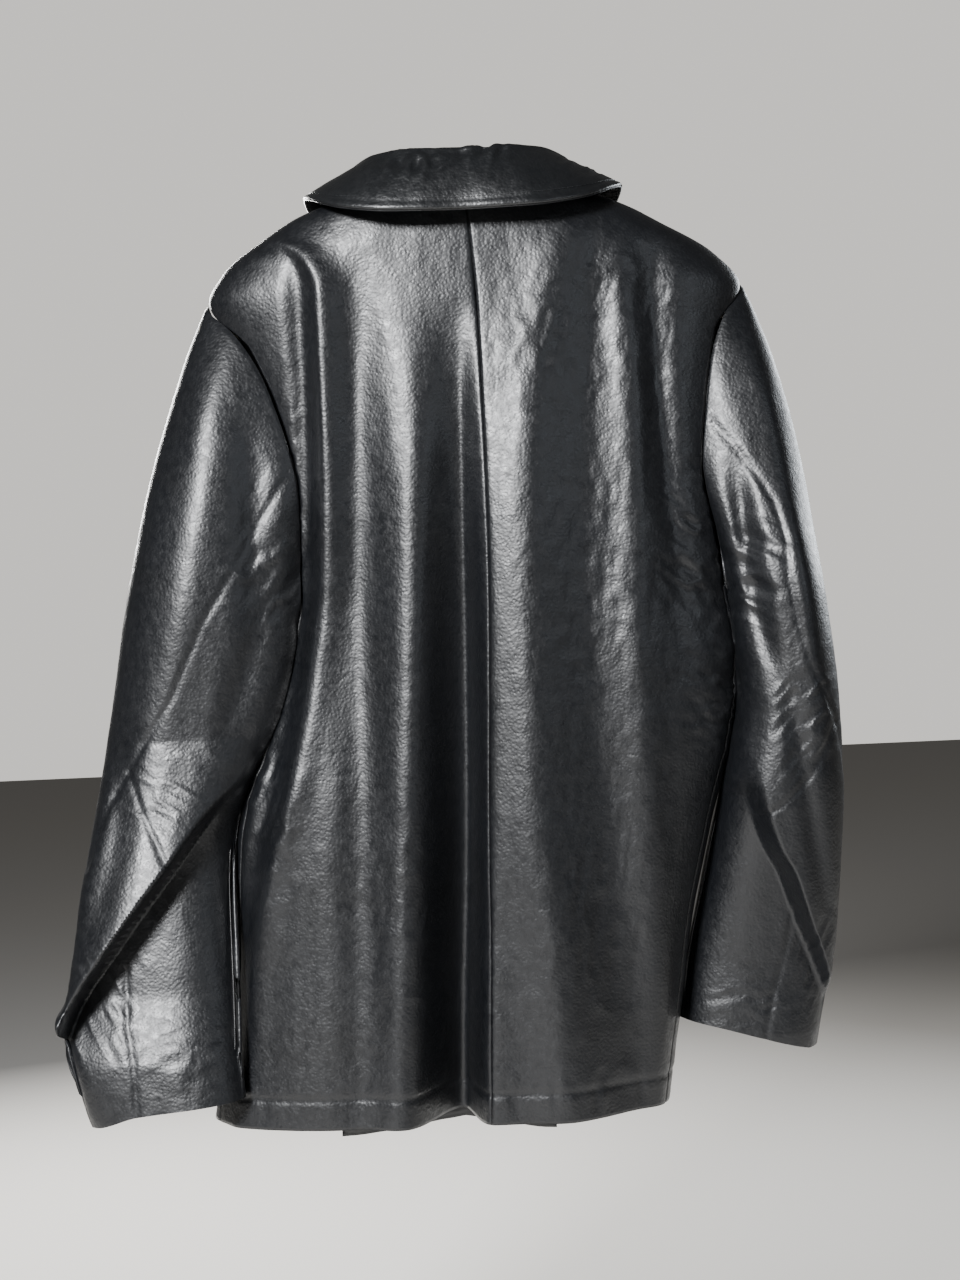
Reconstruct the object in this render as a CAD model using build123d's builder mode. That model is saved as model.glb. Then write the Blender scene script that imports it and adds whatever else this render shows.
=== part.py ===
"""Tailored double-breasted leather jacket, hanging open-fronted from its neck, in millimetres.

Frame: origin at the centre of the neck opening, on the level of the back neck seam, where the
neck of a clothes hanger stands. +Z is up, the fronts face +Y, the back faces -Y, and +X is the
wearer's right. Every shell is a band between two insets from one outline, so the layers nest.
"""
from build123d import *
import os
from math import acos, cos, degrees, exp, radians, sin

# ---- thicknesses, insets measured inwards from the outline ------------------------------------
LEATHER = 2.0            # leather with its bonded interlining
FACING = (2.5, 3.5)      # leather facing inside the front edges
POCKET_BAG = (4.2, 5.6)  # empty cloth pocket, both layers
LINING = (6.4, 7.2)      # lining over the pocket bag
PAD_ROOM = 12.0          # how much further in the lining runs under a shoulder pad
UNDERLAP = 11.0          # how far the right front lies behind the left one
SLEEVE_LINING = (3.2, 4.8)
CUFF_FACING = (2.4, 4.6)
SQUARENESS = 0.8         # below 1 the outline is fuller than an ellipse

# ---- levels -----------------------------------------------------------------------------------
HEM_Z = -757.0
WAIST_POINT_Z = -380.0   # top button, where the roll lines end
LAPEL_BREAK = 40.0       # height over which a roll line turns into the front edge
CHEST_Z = -205.0         # swinging fronts start here
CHEST_GAP = 5.0          # room below the shoulder parts for the rise of a swinging front
ARMPIT_Z = -335.0
ELBOW_Z = -490.0
LINING_RISE = 18.0       # linings end this far above the hem and the cuffs
FRONT_DROP = 18.0        # the front corners hang this much below the back hem

# ---- outline of the body: height, centre x, centre y, half width, half depth, fold depth, fold x
BODY = [
    (0, 0, -8, 86, 58, 0, -14),
    (-10, 0, -6, 130, 60, 0, -14),
    (-30, 2, -4, 168, 62, 0, -12),
    (-54, 6, -2, 204, 64, 0, -10),
    (-82, 9, 0, 223, 66, 0, -9),
    (-116, 14, 2, 212, 70, 4, -9),
    (-176, 20, 4, 196, 74, 9, -8),
    (-250, 24, 5, 184, 78, 16, -8),
    (-330, 27, 6, 180, 80, 24, -10),
    (-411, 28, 7, 185, 82, 32, -13),
    (-531, 2, 8, 188, 85, 44, -19),
    (-640, -21, 8, 188, 87, 56, -24),
    (HEM_Z, -46, 8, 192, 90, 66, -29),
    (HEM_Z - FRONT_DROP, -48, 8, 192, 90, 66, -29),
]
FOLD_WIDTH = 27.0        # half width of the deep fold beside the centre back seam
FOLD_REACH, FOLD_DENSITY = 50.0, 3.0   # where, and how much, points crowd together at the fold
CENTRE_SEAM = [(0, 5), (-118, 11), (-256, 12), (-482, 4), (HEM_Z - 1, -7)]

# ---- outlines of the sleeves: height, centre x, centre y, half width, half depth --------------
SLEEVES = {
    "right": [
        (-86, 236, 0, 8, 22, 0, 0),
        (-97, 236, 0, 17, 44, 0, 0),
        (-122, 237, 0, 23, 60, 0, 0),
        (-170, 238, 0, 32, 70, 0, 0),
        (-225, 241, 0, 37, 74, 0, 0),
        (ARMPIT_Z, 251, 0, 37, 74, 0, 0),
        (ELBOW_Z, 256, 0, 42, 66, 0, 0),
        (-560, 247, 4, 47, 58, 0, 0),
        (-640, 234, 8, 56, 47, 0, 0),
        (-707, 223, 10, 62, 40, 0, 0),
    ],
    "left": [
        (-86, -230, 0, 8, 22, 0, 0),
        (-97, -229, 0, 15, 44, 0, 0),
        (-122, -228, 0, 23, 58, 0, 0),
        (-170, -223, 0, 39, 64, 0, 0),
        (-225, -216, 0, 54, 66, 0, 0),
        (ARMPIT_Z, -226, 0, 65, 60, 0, 0),
        (ELBOW_Z, -253, -6, 66, 50, 0, 0),
        (-560, -267, -20, 65, 44, 0, 0),
        (-640, -277, -46, 67, 37, 0, 0),
        (-700, -283, -64, 71, 32, 0, 0),
        (-742, -268, -67, 61, 31, 0, 0),
    ],
}
ELBOW_AXIS_Y = {"right": 22.0, "left": 12.0}      # fold line of each elbow
ELBOW_TURN = {"right": 0.0, "left": 42.0}         # how far it is turned, to lift clear of the hip
RAISE_AXIS_X = {"right": 258.0, "left": -240.0}   # fold line under each shoulder
NOTCH_ANGLE = {"elbow": 42.0, "raise": 24.0}      # each half of a fold's clearance notch
FOLD_GAP = 2.0                                    # between the shells on either side of a fold

# ---- angles on the outline: 0 at the wearer's right side, 90 at the front, 270 at the back ----
RIGHT_SEAM = 25.0        # side seam where the right front swings
LEFT_SEAM = 155.0
RIGHT_FRONT_EDGE = 113.0
LEFT_FRONT_EDGE = 64.0
FACING_WIDTH = 45.0
TUCK_START, TUCK_END = 34.0, 56.0   # where the right front sinks behind the left one

# ---- small parts ------------------------------------------------------------------------------
BUTTON_RADIUS, BUTTON_THICKNESS = 10.5, 3.4
BUTTON_LEVELS = (-395.0, -485.0, -575.0)
LEFT_BUTTON_ANGLE, RIGHT_BUTTON_ANGLE = 112.0, 74.0
POCKET_Z, POCKET_ANGLE = -590.0, 46.0
WELT_HEIGHT = 9.0
FLAP_DROP = 55.0
LOOP_HALF, LOOP_DROP, LOOP_RADIUS = 30.0, 14.0, 1.25
LOOP_Y, LOOP_Z = -59.8, -10.0


def values_at(rows, z):
    """Outline values at height z, on straight lines between the rows of its table."""
    for upper, lower in zip(rows, rows[1:]):
        if z >= lower[0]:
            share = (upper[0] - z) / (upper[0] - lower[0])
            return [u + (v - u) * share for u, v in zip(upper[1:], lower[1:])]
    return list(rows[-1][1:])


def fuller(value):
    """A sine or cosine pushed outwards, which squares an ellipse a little."""
    return (1 if value >= 0 else -1) * abs(value) ** SQUARENESS


def outline_point(rows, z, angle, side):
    """Point of the outline at a height and an angle; side -1 counts the angle from -X."""
    centre_x, centre_y, half_width, half_depth, fold, fold_x = values_at(rows, z)
    x = centre_x + side * half_width * fuller(cos(radians(angle)))
    y = centre_y + half_depth * fuller(sin(radians(angle)))
    if sin(radians(angle)) < 0:
        y += fold * exp(-(((x - fold_x) / FOLD_WIDTH) ** 2))
    return Vector(x, y)


def inset_point(rows, z, angle, side, inset):
    """Point of the outline moved inwards, square to the outline."""
    ahead = outline_point(rows, z, angle + 0.4, side)
    behind = outline_point(rows, z, angle - 0.4, side)
    along = (ahead - behind).normalized()
    inward = Vector(-along.Y, along.X) * side
    return outline_point(rows, z, angle, side) + inward * inset


def tucked(angle, tuck):
    """Extra inset of a front that sinks behind its neighbour past TUCK_START."""
    share = min(max((angle - TUCK_START) / (TUCK_END - TUCK_START), 0.0), 1.0)
    return tuck * share * share * (3 - 2 * share)


def between(table, z):
    """Value at height z of a small table of (height, value), highest first."""
    return values_at(table, z)[0]


def levels(rows, top, bottom, extra=(), step=60.0):
    """Heights for a panel: its ends, the outline's own rows, extra ones, and none too far apart."""
    inner = [row[0] for row in rows] + list(extra)
    kept = [top] + sorted({h for h in inner if bottom + 1 < h < top - 1}, reverse=True) + [bottom]
    heights = [top]
    for upper, lower in zip(kept, kept[1:]):
        parts = max(1, round((upper - lower) / step))
        heights += [upper + (lower - upper) * (i + 1) / parts for i in range(parts)]
    return heights


def finish(piece, name):
    """Label a finished piece, write it and hand it back."""
    piece.part.label = name
    export_step(piece.part, f"parts/{name}.step")
    return piece.part


def spaced_angles(rows, z, side, first, last, count):
    """Angles evenly far apart along the outline, and closer together about the back fold."""
    steps = 160
    fold_x = values_at(rows, z)[5]
    angles = [first + (last - first) * i / steps for i in range(steps + 1)]
    points = [outline_point(rows, z, angle, side) for angle in angles]
    travelled = [0.0]
    for here, there in zip(points, points[1:]):
        near_fold = exp(-(((here.X - fold_x) / FOLD_REACH) ** 2)) if here.Y < 0 else 0.0
        travelled.append(travelled[-1] + (there - here).length * (1 + FOLD_DENSITY * near_fold))
    chosen = [first]
    index = 0
    for i in range(1, count - 1):
        target = travelled[-1] * i / (count - 1)
        while travelled[index + 1] < target:
            index += 1
        share = (target - travelled[index]) / (travelled[index + 1] - travelled[index])
        chosen.append(angles[index] + (angles[index + 1] - angles[index]) * share)
    return chosen + [last]


def band(rows, heights, start, end, depth, side=1, tuck=0.0, count=9, cut=None):
    """Solid band of the outline between two angles and two insets, lofted down its heights.

    start, end and depth are functions of the height; depth gives the outer and the inner inset.
    """
    with BuildPart() as piece:
        for z in heights:
            angles = spaced_angles(rows, z, side, start(z), end(z), count)
            outer, inner = depth(z)
            with BuildSketch(Plane.XY.offset(z)):
                with BuildLine():
                    outside = Spline(
                        *[inset_point(rows, z, a, side, outer + tucked(a, tuck)) for a in angles]
                    )
                    inside = Spline(
                        *[inset_point(rows, z, a, side, inner + tucked(a, tuck)) for a in angles]
                    )
                    Line(outside @ 0, inside @ 0)
                    Line(outside @ 1, inside @ 1)
                make_face()
        loft(ruled=True)
        if cut is not None:
            add(cut, mode=Mode.SUBTRACT)
    return piece


def constant(value):
    """A function of the height that always gives value."""
    return lambda z: value


def along_x(rows, z, x, front=True):
    """Angle at which the body's outline passes over x, on its front or its back."""
    centre_x, _, half_width, *_ = values_at(rows, z)
    share = (x - centre_x) / half_width
    angle = degrees(acos((1 if share >= 0 else -1) * abs(share) ** (1 / SQUARENESS)))
    return angle if front else 360 - angle


def roll_angle(z, side):
    """Angle of the lapel's roll line at height z, on the wearer's right (1) or left (-1)."""
    centre_x = values_at(BODY, z)[0]
    return along_x(BODY, z, centre_x + side * between(ROLL_LINE, z))


# ---- body panels ------------------------------------------------------------------------------
ARMHOLE_BACK = [(0, 10), (-82, 10), (-122, 27), (-225, 30), (ARMPIT_Z, 20), (HEM_Z - 30, 16)]
ARMHOLE_FRONT = [(0, 10), (-82, 10), (-122, 34), (-225, 38), (ARMPIT_Z, 25), (HEM_Z - 30, 25)]
PAD_HALF_ANGLE = [(0, 26), (-40, 30), (-82, 32), (-112, 20)]
ROLL_LINE = [(0, 78), (-60, 60), (CHEST_Z, -2), (WAIST_POINT_Z, -64)]   # from the centre, outwards


def shell_depth(z):
    """Insets of the leather."""
    return (0.0, LEATHER)


def lining_depth(z):
    """Insets of the lining, which runs further in under the shoulder pads."""
    extra = PAD_ROOM * between([(0, 0.2), (-54, 1), (-122, 1), (-176, 0), (HEM_Z, 0)], z)
    return (LINING[0] + extra, LINING[1] + extra)


def make_backs():
    """Two back panels, two side panels below the armholes, and the back lining."""
    heights = levels(BODY, -1.0, HEM_Z, (ARMPIT_Z, -225, -122, -256, -482))
    half_gap = 0.25

    def centre_seam(z):
        return along_x(BODY, z, between(CENTRE_SEAM, z), front=False)

    finish(
        band(
            BODY, heights, lambda z: 180 + between(ARMHOLE_BACK, z) + half_gap,
            lambda z: centre_seam(z) - half_gap, shell_depth, count=25,
        ),
        "back_panel_left",
    )
    finish(
        band(
            BODY, heights, lambda z: centre_seam(z) + half_gap,
            lambda z: 360 - between(ARMHOLE_BACK, z) - half_gap, shell_depth, count=15,
        ),
        "back_panel_right",
    )
    heights = levels(BODY, ARMPIT_Z, HEM_Z)
    finish(
        band(
            BODY, heights, constant(LEFT_SEAM + 1.0),
            lambda z: 180 + between(ARMHOLE_BACK, z) - half_gap, shell_depth,
        ),
        "side_panel_left",
    )
    finish(
        band(
            BODY, heights, lambda z: -between(ARMHOLE_BACK, z) + half_gap,
            constant(RIGHT_SEAM - 1.0), shell_depth,
        ),
        "side_panel_right",
    )
    heights = levels(BODY, -66.0, HEM_Z + LINING_RISE, (ARMPIT_Z, -225, -176, -122))
    side_reach = [(0, 4), (-225, 4), (-322, 4), (ARMPIT_Z, -12), (HEM_Z - 30, -12)]
    finish(
        band(
            BODY, heights,
            lambda z: 180 + between(ARMHOLE_BACK, z) + between(side_reach, z),
            lambda z: 360 - between(ARMHOLE_BACK, z) - between(side_reach, z),
            lining_depth, count=41,
        ),
        "back_lining",
    )
    finish(
        band(
            BODY, levels(BODY, -1.5, -62.0), constant(216.0), constant(324.0),
            constant((2.6, 3.6)), count=13,
        ),
        "back_neck_facing",
    )


def make_shoulders():
    """Front shoulder parts above the chest and the pads between leather and lining."""
    for name, side in (("right", 1), ("left", -1)):
        def armhole(z, side=side):
            angle = between(ARMHOLE_FRONT, z) + 0.25
            return angle if side == 1 else 180 - angle

        def roll(z, side=side):
            return roll_angle(z, side)

        heights = levels(BODY, -1.0, CHEST_Z + 1, (-60, -122), step=24.0)
        tuck = UNDERLAP if side == 1 else 0.0
        finish(
            band(BODY, heights, armhole, roll, shell_depth, tuck=tuck),
            f"front_shoulder_{name}",
        )

        def pad_start(z, side=side):
            half = between(PAD_HALF_ANGLE, z)
            return -half if side == 1 else 180 - half

        def pad_end(z, side=side):
            half = between(PAD_HALF_ANGLE, z)
            return half if side == 1 else 180 + half

        def pad_depth(z):
            return (4.2, 4.2 + between([(0, 4), (-40, 9), (-82, 13), (-112, 4)], z))

        heights = [-36.0, -54.0, -82.0, -104.0]
        finish(band(BODY, heights, pad_start, pad_end, pad_depth), f"shoulder_pad_{name}")


def make_front(name):
    """Front panel, facing, lining, two lapel parts, pocket and buttons of one front."""
    outer = name == "left"
    tuck = 0.0 if outer else UNDERLAP
    free_edge = LEFT_FRONT_EDGE if outer else RIGHT_FRONT_EDGE
    turn = -1 if outer else 1

    def seam_edge(z, back_off=0.0):
        angle = max(between(ARMHOLE_FRONT, z), RIGHT_SEAM) + 1.0 + back_off
        return angle if not outer else 180 - angle

    def front_edge(z, back_off=0.0):
        share = min(max((z - WAIST_POINT_Z) / LAPEL_BREAK, 0.0), 1.0)
        rolled = roll_angle(max(z, WAIST_POINT_Z), turn)
        return free_edge + (rolled - free_edge) * share - turn * back_off

    low = HEM_Z - FRONT_DROP
    steps = (-225, ARMPIT_Z, WAIST_POINT_Z, WAIST_POINT_Z + LAPEL_BREAK)
    heights = levels(BODY, CHEST_Z - CHEST_GAP, low, steps)
    finish(
        band(BODY, heights, seam_edge, front_edge, shell_depth, tuck=tuck, count=21),
        f"front_panel_{name}",
    )
    heights = levels(BODY, CHEST_Z - CHEST_GAP, low + 3, steps)
    finish(
        band(
            BODY, heights, lambda z: front_edge(z, FACING_WIDTH), lambda z: front_edge(z, 1.0),
            constant(FACING), tuck=tuck, count=9,
        ),
        f"front_facing_{name}",
    )
    heights = levels(BODY, CHEST_Z - CHEST_GAP, HEM_Z + LINING_RISE, steps)
    finish(
        band(
            BODY, heights, lambda z: seam_edge(z, 4.0),
            lambda z: front_edge(z, FACING_WIDTH - 3.0), constant(LINING), tuck=tuck, count=9,
        ),
        f"front_lining_{name}",
    )
    lapel_width = [(0, 26), (-122, 26), (CHEST_Z, 24), (WAIST_POINT_Z, 4)]
    lapels = {
        f"lapel_top_{name}": (-116.0, CHEST_Z + 1),
        f"lapel_{name}": (CHEST_Z - CHEST_GAP, WAIST_POINT_Z + 4),
    }
    for label, (top, foot) in lapels.items():
        finish(
            band(
                BODY, levels(BODY, top, foot, step=24.0),
                lambda z: roll_angle(z, turn) - turn * (1 + between(lapel_width, z)),
                lambda z: roll_angle(z, turn) - turn, constant((-4.6, -3.0)), tuck=tuck, count=9,
            ),
            label,
        )
    make_pocket(name, turn)
    angle = LEFT_BUTTON_ANGLE if outer else RIGHT_BUTTON_ANGLE
    with BuildPart() as buttons:
        for z in BUTTON_LEVELS:
            seat = inset_point(BODY, z, angle, 1, tucked(angle, tuck) - 0.9)
            back = inset_point(BODY, z, angle, 1, tucked(angle, tuck) + 5.0)
            face = Plane(
                origin=(seat.X, seat.Y, z), z_dir=(seat.X - back.X, seat.Y - back.Y, 0)
            )
            with BuildSketch(face):
                Circle(BUTTON_RADIUS)
            extrude(amount=BUTTON_THICKNESS)
    finish(buttons, f"buttons_{name}")


def make_pocket(name, turn):
    """Welt, hinged flap and cloth bag of the hip pocket on one front."""
    centre = POCKET_ANGLE if turn == 1 else 180.0 - POCKET_ANGLE
    half = 15.0
    tuck = UNDERLAP if turn == 1 else 0.0
    first, last = centre - half, centre + half
    welt = (POCKET_Z, POCKET_Z - WELT_HEIGHT)
    finish(
        band(BODY, list(welt), constant(first), constant(last), constant((-2.2, -0.9)), tuck=tuck),
        f"pocket_welt_{name}",
    )
    flap = (welt[1] - 2.0, welt[1] - FLAP_DROP)
    finish(
        band(
            BODY, levels(BODY, *flap), constant(first + 0.5), constant(last - 0.5),
            constant((-2.8, -1.2)), tuck=tuck,
        ),
        f"pocket_flap_{name}",
    )
    bag = (POCKET_Z - 4.0, POCKET_Z - 140.0)
    finish(
        band(
            BODY, levels(BODY, *bag), constant(first + 2), constant(last - 2),
            constant(POCKET_BAG), tuck=tuck,
        ),
        f"pocket_bag_{name}",
    )


# ---- collar -----------------------------------------------------------------------------------
# angle, fold radius, fold height, edge radius, edge height; the right half, mirrored for the left
COLLAR = [
    (270, 66, 27, 82, -21),
    (292, 70, 27, 96, -17),
    (315, 80, 26, 118, -11),
    (338, 90, 22, 136, -4),
    (360, 94, 14, 137, -4),
    (378, 94, 8, 126, -9),
    (396, 94, 4, 116, -20),
]
STAND = [(26, 0, -6, 88, 60, 0, 0), (13, 0, -6, 88, 60, 0, 0), (0, 0, -6, 88, 60, 0, 0)]
STAND_HALF_ANGLE = [(26, 62), (13, 86), (0, 98)]
COLLAR_CENTRE_Y = -6.0
COLLAR_LAYER = 1.6       # thickness of each collar layer


def collar_band(name, section):
    """One layer of the collar, lofted round the neck from a four-cornered section."""
    stations = [(540 - row[0],) + row[1:] for row in reversed(COLLAR[1:])] + COLLAR
    with BuildPart() as piece:
        for angle, fold_r, fold_z, edge_r, edge_z in stations:
            outward = Vector(cos(radians(angle)), sin(radians(angle)), 0)
            upright = Plane(
                origin=(0, COLLAR_CENTRE_Y, 0), x_dir=outward, z_dir=outward.cross(Vector(0, 0, 1))
            )
            with BuildSketch(upright):
                with BuildLine():
                    Polyline(*section(Vector(fold_r, fold_z), Vector(edge_r, edge_z)), close=True)
                make_face()
        loft(ruled=True)
    return finish(piece, name)


def leaf(near, far, past_fold, past_edge):
    """Section of a sloping layer of the leaf, between two heights above the line fold to edge."""
    def section(fold, edge):
        down = (edge - fold).normalized()
        out = Vector(-down.Y, down.X)
        top, foot = fold - down * past_fold, edge + down * past_edge
        return [top + out * near, top + out * far, foot + out * far, foot + out * near]

    return section


def make_collar():
    """Stand inside the fold, under collar and upper collar outside it, and the hanger loop."""
    top = STAND[0][0] - 1
    finish(
        band(
            STAND, [top, STAND[1][0], 1.0], lambda z: 270 - between(STAND_HALF_ANGLE, z),
            lambda z: 270 + between(STAND_HALF_ANGLE, z), constant((0.0, COLLAR_LAYER)), count=17,
        ),
        "collar_stand",
    )
    collar_band("under_collar", leaf(0.0, COLLAR_LAYER, 0.0, 0.0))
    collar_band("upper_collar", leaf(COLLAR_LAYER + 0.5, 2 * COLLAR_LAYER + 0.5, 2.0, 1.5))
    with BuildPart() as loop:
        with BuildLine() as path:
            ThreePointArc(
                (-LOOP_HALF, LOOP_Y, LOOP_Z), (0, LOOP_Y, LOOP_Z - LOOP_DROP),
                (LOOP_HALF, LOOP_Y, LOOP_Z),
            )
        with BuildSketch(Plane(origin=path.line @ 0, z_dir=path.line % 0)):
            Circle(LOOP_RADIUS)
        sweep()
    finish(loop, "hanger_loop")


# ---- sleeves ----------------------------------------------------------------------------------
REAR_SEAM = [
    (0, -95), (-97, -100), (-225, -116), (ARMPIT_Z, -114), (ELBOW_Z, -62), (-560, -20), (-800, -12),
]
FRONT_SEAM = 150.0
CROWN_FRONT = [(0, 95), (-97, 100), (-225, 116), (ARMPIT_Z, FRONT_SEAM), (-800, FRONT_SEAM)]
LINING_OPENING = [(0, 100), (-225, 116), (ARMPIT_Z, 150), (ARMPIT_Z - 24, 177), (-800, 177)]
CAP_LINING_Z = -122.0
NOTCH_REACH, NOTCH_HALF_WIDTH = 130.0, 130.0
SLEEVE_STEP = 22.0       # most height between two sections, as the seams run round the sleeve


def notch(plane, apex, reach, half_angle):
    """Wedge of clearance with its tip at apex, opening along the plane's x, right through."""
    rise = abs(reach) * sin(radians(half_angle)) / cos(radians(half_angle))
    with BuildPart() as wedge:
        with BuildSketch(plane):
            with BuildLine():
                Polyline(
                    apex, (apex[0] + reach, apex[1] + rise), (apex[0] + reach, apex[1] - rise),
                    close=True,
                )
            make_face()
        extrude(amount=NOTCH_HALF_WIDTH, both=True)
    return wedge.part


def make_sleeve(name):
    """Sleeve cap on the shoulder, then the leather and lining of the sleeve, folding twice."""
    rows = SLEEVES[name]
    side = 1 if name == "right" else -1
    turn = radians(ELBOW_TURN[name])
    elbow = Plane(
        origin=(values_at(rows, ELBOW_Z)[0], ELBOW_AXIS_Y[name], ELBOW_Z),
        x_dir=(-sin(turn), cos(turn), 0), z_dir=(cos(turn), sin(turn), 0),
    )
    wedges = [
        notch(elbow, (-2, 0), NOTCH_REACH, NOTCH_ANGLE["elbow"]),
        notch(
            Plane.XZ, (RAISE_AXIS_X[name] - 2 * side, ARMPIT_Z), side * NOTCH_REACH,
            NOTCH_ANGLE["raise"],
        ),
    ]
    cuff = rows[-1][0]
    crown = rows[0][0]
    gap = 0.5

    def rear(z):
        return between(REAR_SEAM, z)

    def piece(label, top, bottom, start, end, depth, count=11):
        heights = levels(rows, top, bottom, (ARMPIT_Z - 24,), step=SLEEVE_STEP)
        finish(
            band(
                rows, heights, start, end, depth, side=side, count=count,
                cut=wedges[0] + wedges[1],
            ),
            f"{label}_{name}",
        )

    def lining_start(z):
        return -between(LINING_OPENING, z)

    def lining_end(z):
        return between(LINING_OPENING, z)

    cap_bottom = ARMPIT_Z + FOLD_GAP / 2
    lining = constant(SLEEVE_LINING)
    piece(
        "sleeve_cap", crown, cap_bottom, lambda z: rear(z) + gap,
        lambda z: between(CROWN_FRONT, z) - gap, shell_depth,
    )
    piece("sleeve_cap_lining", CAP_LINING_Z, cap_bottom, lining_start, lining_end, lining, 21)
    arms = {
        "upper": (ARMPIT_Z - FOLD_GAP / 2, ELBOW_Z + FOLD_GAP / 2, 0.0),
        "lower": (ELBOW_Z - FOLD_GAP / 2, cuff, LINING_RISE),
    }
    for part, (top, bottom, rise) in arms.items():
        piece(
            f"sleeve_top_{part}", top, bottom, lambda z: rear(z) + gap,
            constant(FRONT_SEAM - gap), shell_depth,
        )
        piece(
            f"sleeve_under_{part}", top, bottom, constant(FRONT_SEAM + gap),
            lambda z: 360 + rear(z) - gap, shell_depth,
        )
        piece(
            f"sleeve_lining_{part}", top, bottom + rise, lining_start, lining_end, lining, 25,
        )
    finish(
        band(
            rows, [cuff + 16.0, cuff + 3.0], constant(-172.0), constant(172.0),
            constant(CUFF_FACING), side=side, count=41,
        ),
        f"cuff_facing_{name}",
    )
    finish(
        band(
            rows, [-97.0, CAP_LINING_Z], constant(-60.0), constant(60.0),
            constant((LEATHER + 0.8, LEATHER + 4.8)), side=side,
        ),
        f"sleeve_head_roll_{name}",
    )


os.makedirs("parts", exist_ok=True)
make_backs()
make_shoulders()
for front_name in ("left", "right"):
    make_front(front_name)
make_collar()
for sleeve_name in ("left", "right"):
    make_sleeve(sleeve_name)
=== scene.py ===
"""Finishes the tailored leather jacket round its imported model: leather, seams, lining and padding.

Shapes are worked out in millimetres in the CAD frame and turned to metres when a mesh is made.
The body is a squared ellipse at each height with folds laid into it; angles on it are 0 at the
wearer's right, 90 at the front, 180 at the wearer's left and 270 at the back.
"""

import logging
import math
from dataclasses import dataclass
from enum import Enum
from typing import Callable, Optional, Sequence

import bpy
import numpy as np
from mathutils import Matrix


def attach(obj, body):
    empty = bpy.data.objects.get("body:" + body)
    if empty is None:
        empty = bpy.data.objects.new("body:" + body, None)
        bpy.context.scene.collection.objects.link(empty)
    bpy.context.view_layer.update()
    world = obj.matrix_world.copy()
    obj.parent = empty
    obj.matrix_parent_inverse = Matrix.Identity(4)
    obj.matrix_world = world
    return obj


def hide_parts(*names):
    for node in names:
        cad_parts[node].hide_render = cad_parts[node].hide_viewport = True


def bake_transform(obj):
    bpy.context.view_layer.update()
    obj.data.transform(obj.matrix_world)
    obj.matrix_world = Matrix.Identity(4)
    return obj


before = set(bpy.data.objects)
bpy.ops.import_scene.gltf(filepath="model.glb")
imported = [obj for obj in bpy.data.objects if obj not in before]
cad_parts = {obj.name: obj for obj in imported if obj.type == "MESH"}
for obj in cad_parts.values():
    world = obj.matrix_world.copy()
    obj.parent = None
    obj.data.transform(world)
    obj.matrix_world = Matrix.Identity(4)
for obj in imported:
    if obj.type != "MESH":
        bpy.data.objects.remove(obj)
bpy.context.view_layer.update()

LOG = logging.getLogger("jacket")
MM = 0.001
Array = np.ndarray
Table = Sequence[tuple[float, float]]
Path = Sequence[tuple[float, float]]


# ---- small mathematics ------------------------------------------------------------------------
def smoothstep(value: Array) -> Array:
    """Cubic step from 0 to 1 over values from 0 to 1."""
    share = np.clip(value, 0.0, 1.0)
    return share * share * (3 - 2 * share)


def bell(value: Array) -> Array:
    """Gaussian bell, 1 at 0."""
    return np.exp(-(value ** 2))


def fuller(value: Array, power: float = 0.8) -> Array:
    """A sine or cosine pushed outwards, which squares an ellipse a little."""
    return np.sign(value) * np.abs(value) ** power


class Curve:
    """Smooth curve through a small table of (position, value), held level past its ends."""

    def __init__(self, table: Table) -> None:
        """Keeps the table in rising order, with a slope at each row that never overshoots.

        Args:
            table: rows of (position, value) in any order.
        """
        rows = sorted(table)
        self.at = np.array([row[0] for row in rows], float)
        self.value = np.array([row[1] for row in rows], float)
        rise = np.diff(self.value) / np.diff(self.at)
        slope = np.zeros(len(rows))
        if len(rows) > 2:
            same = rise[:-1] * rise[1:] > 0
            total = np.where(same, rise[:-1] + rise[1:], 1.0)
            slope[1:-1] = np.where(same, 2 * rise[:-1] * rise[1:] / total, 0.0)
        if len(rows) > 1:
            slope[0], slope[-1] = rise[0], rise[-1]
        self.slope = slope

    def __call__(self, position: Array) -> Array:
        """Value at each position.

        Args:
            position: where to read the curve.

        Returns:
            The curve's values, in the same shape.
        """
        x = np.clip(np.asarray(position, float), self.at[0], self.at[-1])
        if len(self.at) == 1:
            return np.full_like(x, self.value[0])
        i = np.clip(np.searchsorted(self.at, x, side="right") - 1, 0, len(self.at) - 2)
        span = self.at[i + 1] - self.at[i]
        t = (x - self.at[i]) / span
        a, b = self.value[i], self.value[i + 1]
        ma, mb = self.slope[i] * span, self.slope[i + 1] * span
        return (
            a * (1 + 2 * t) * (1 - t) ** 2 + b * t * t * (3 - 2 * t)
            + ma * t * (1 - t) ** 2 - mb * t * t * (1 - t)
        )


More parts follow.
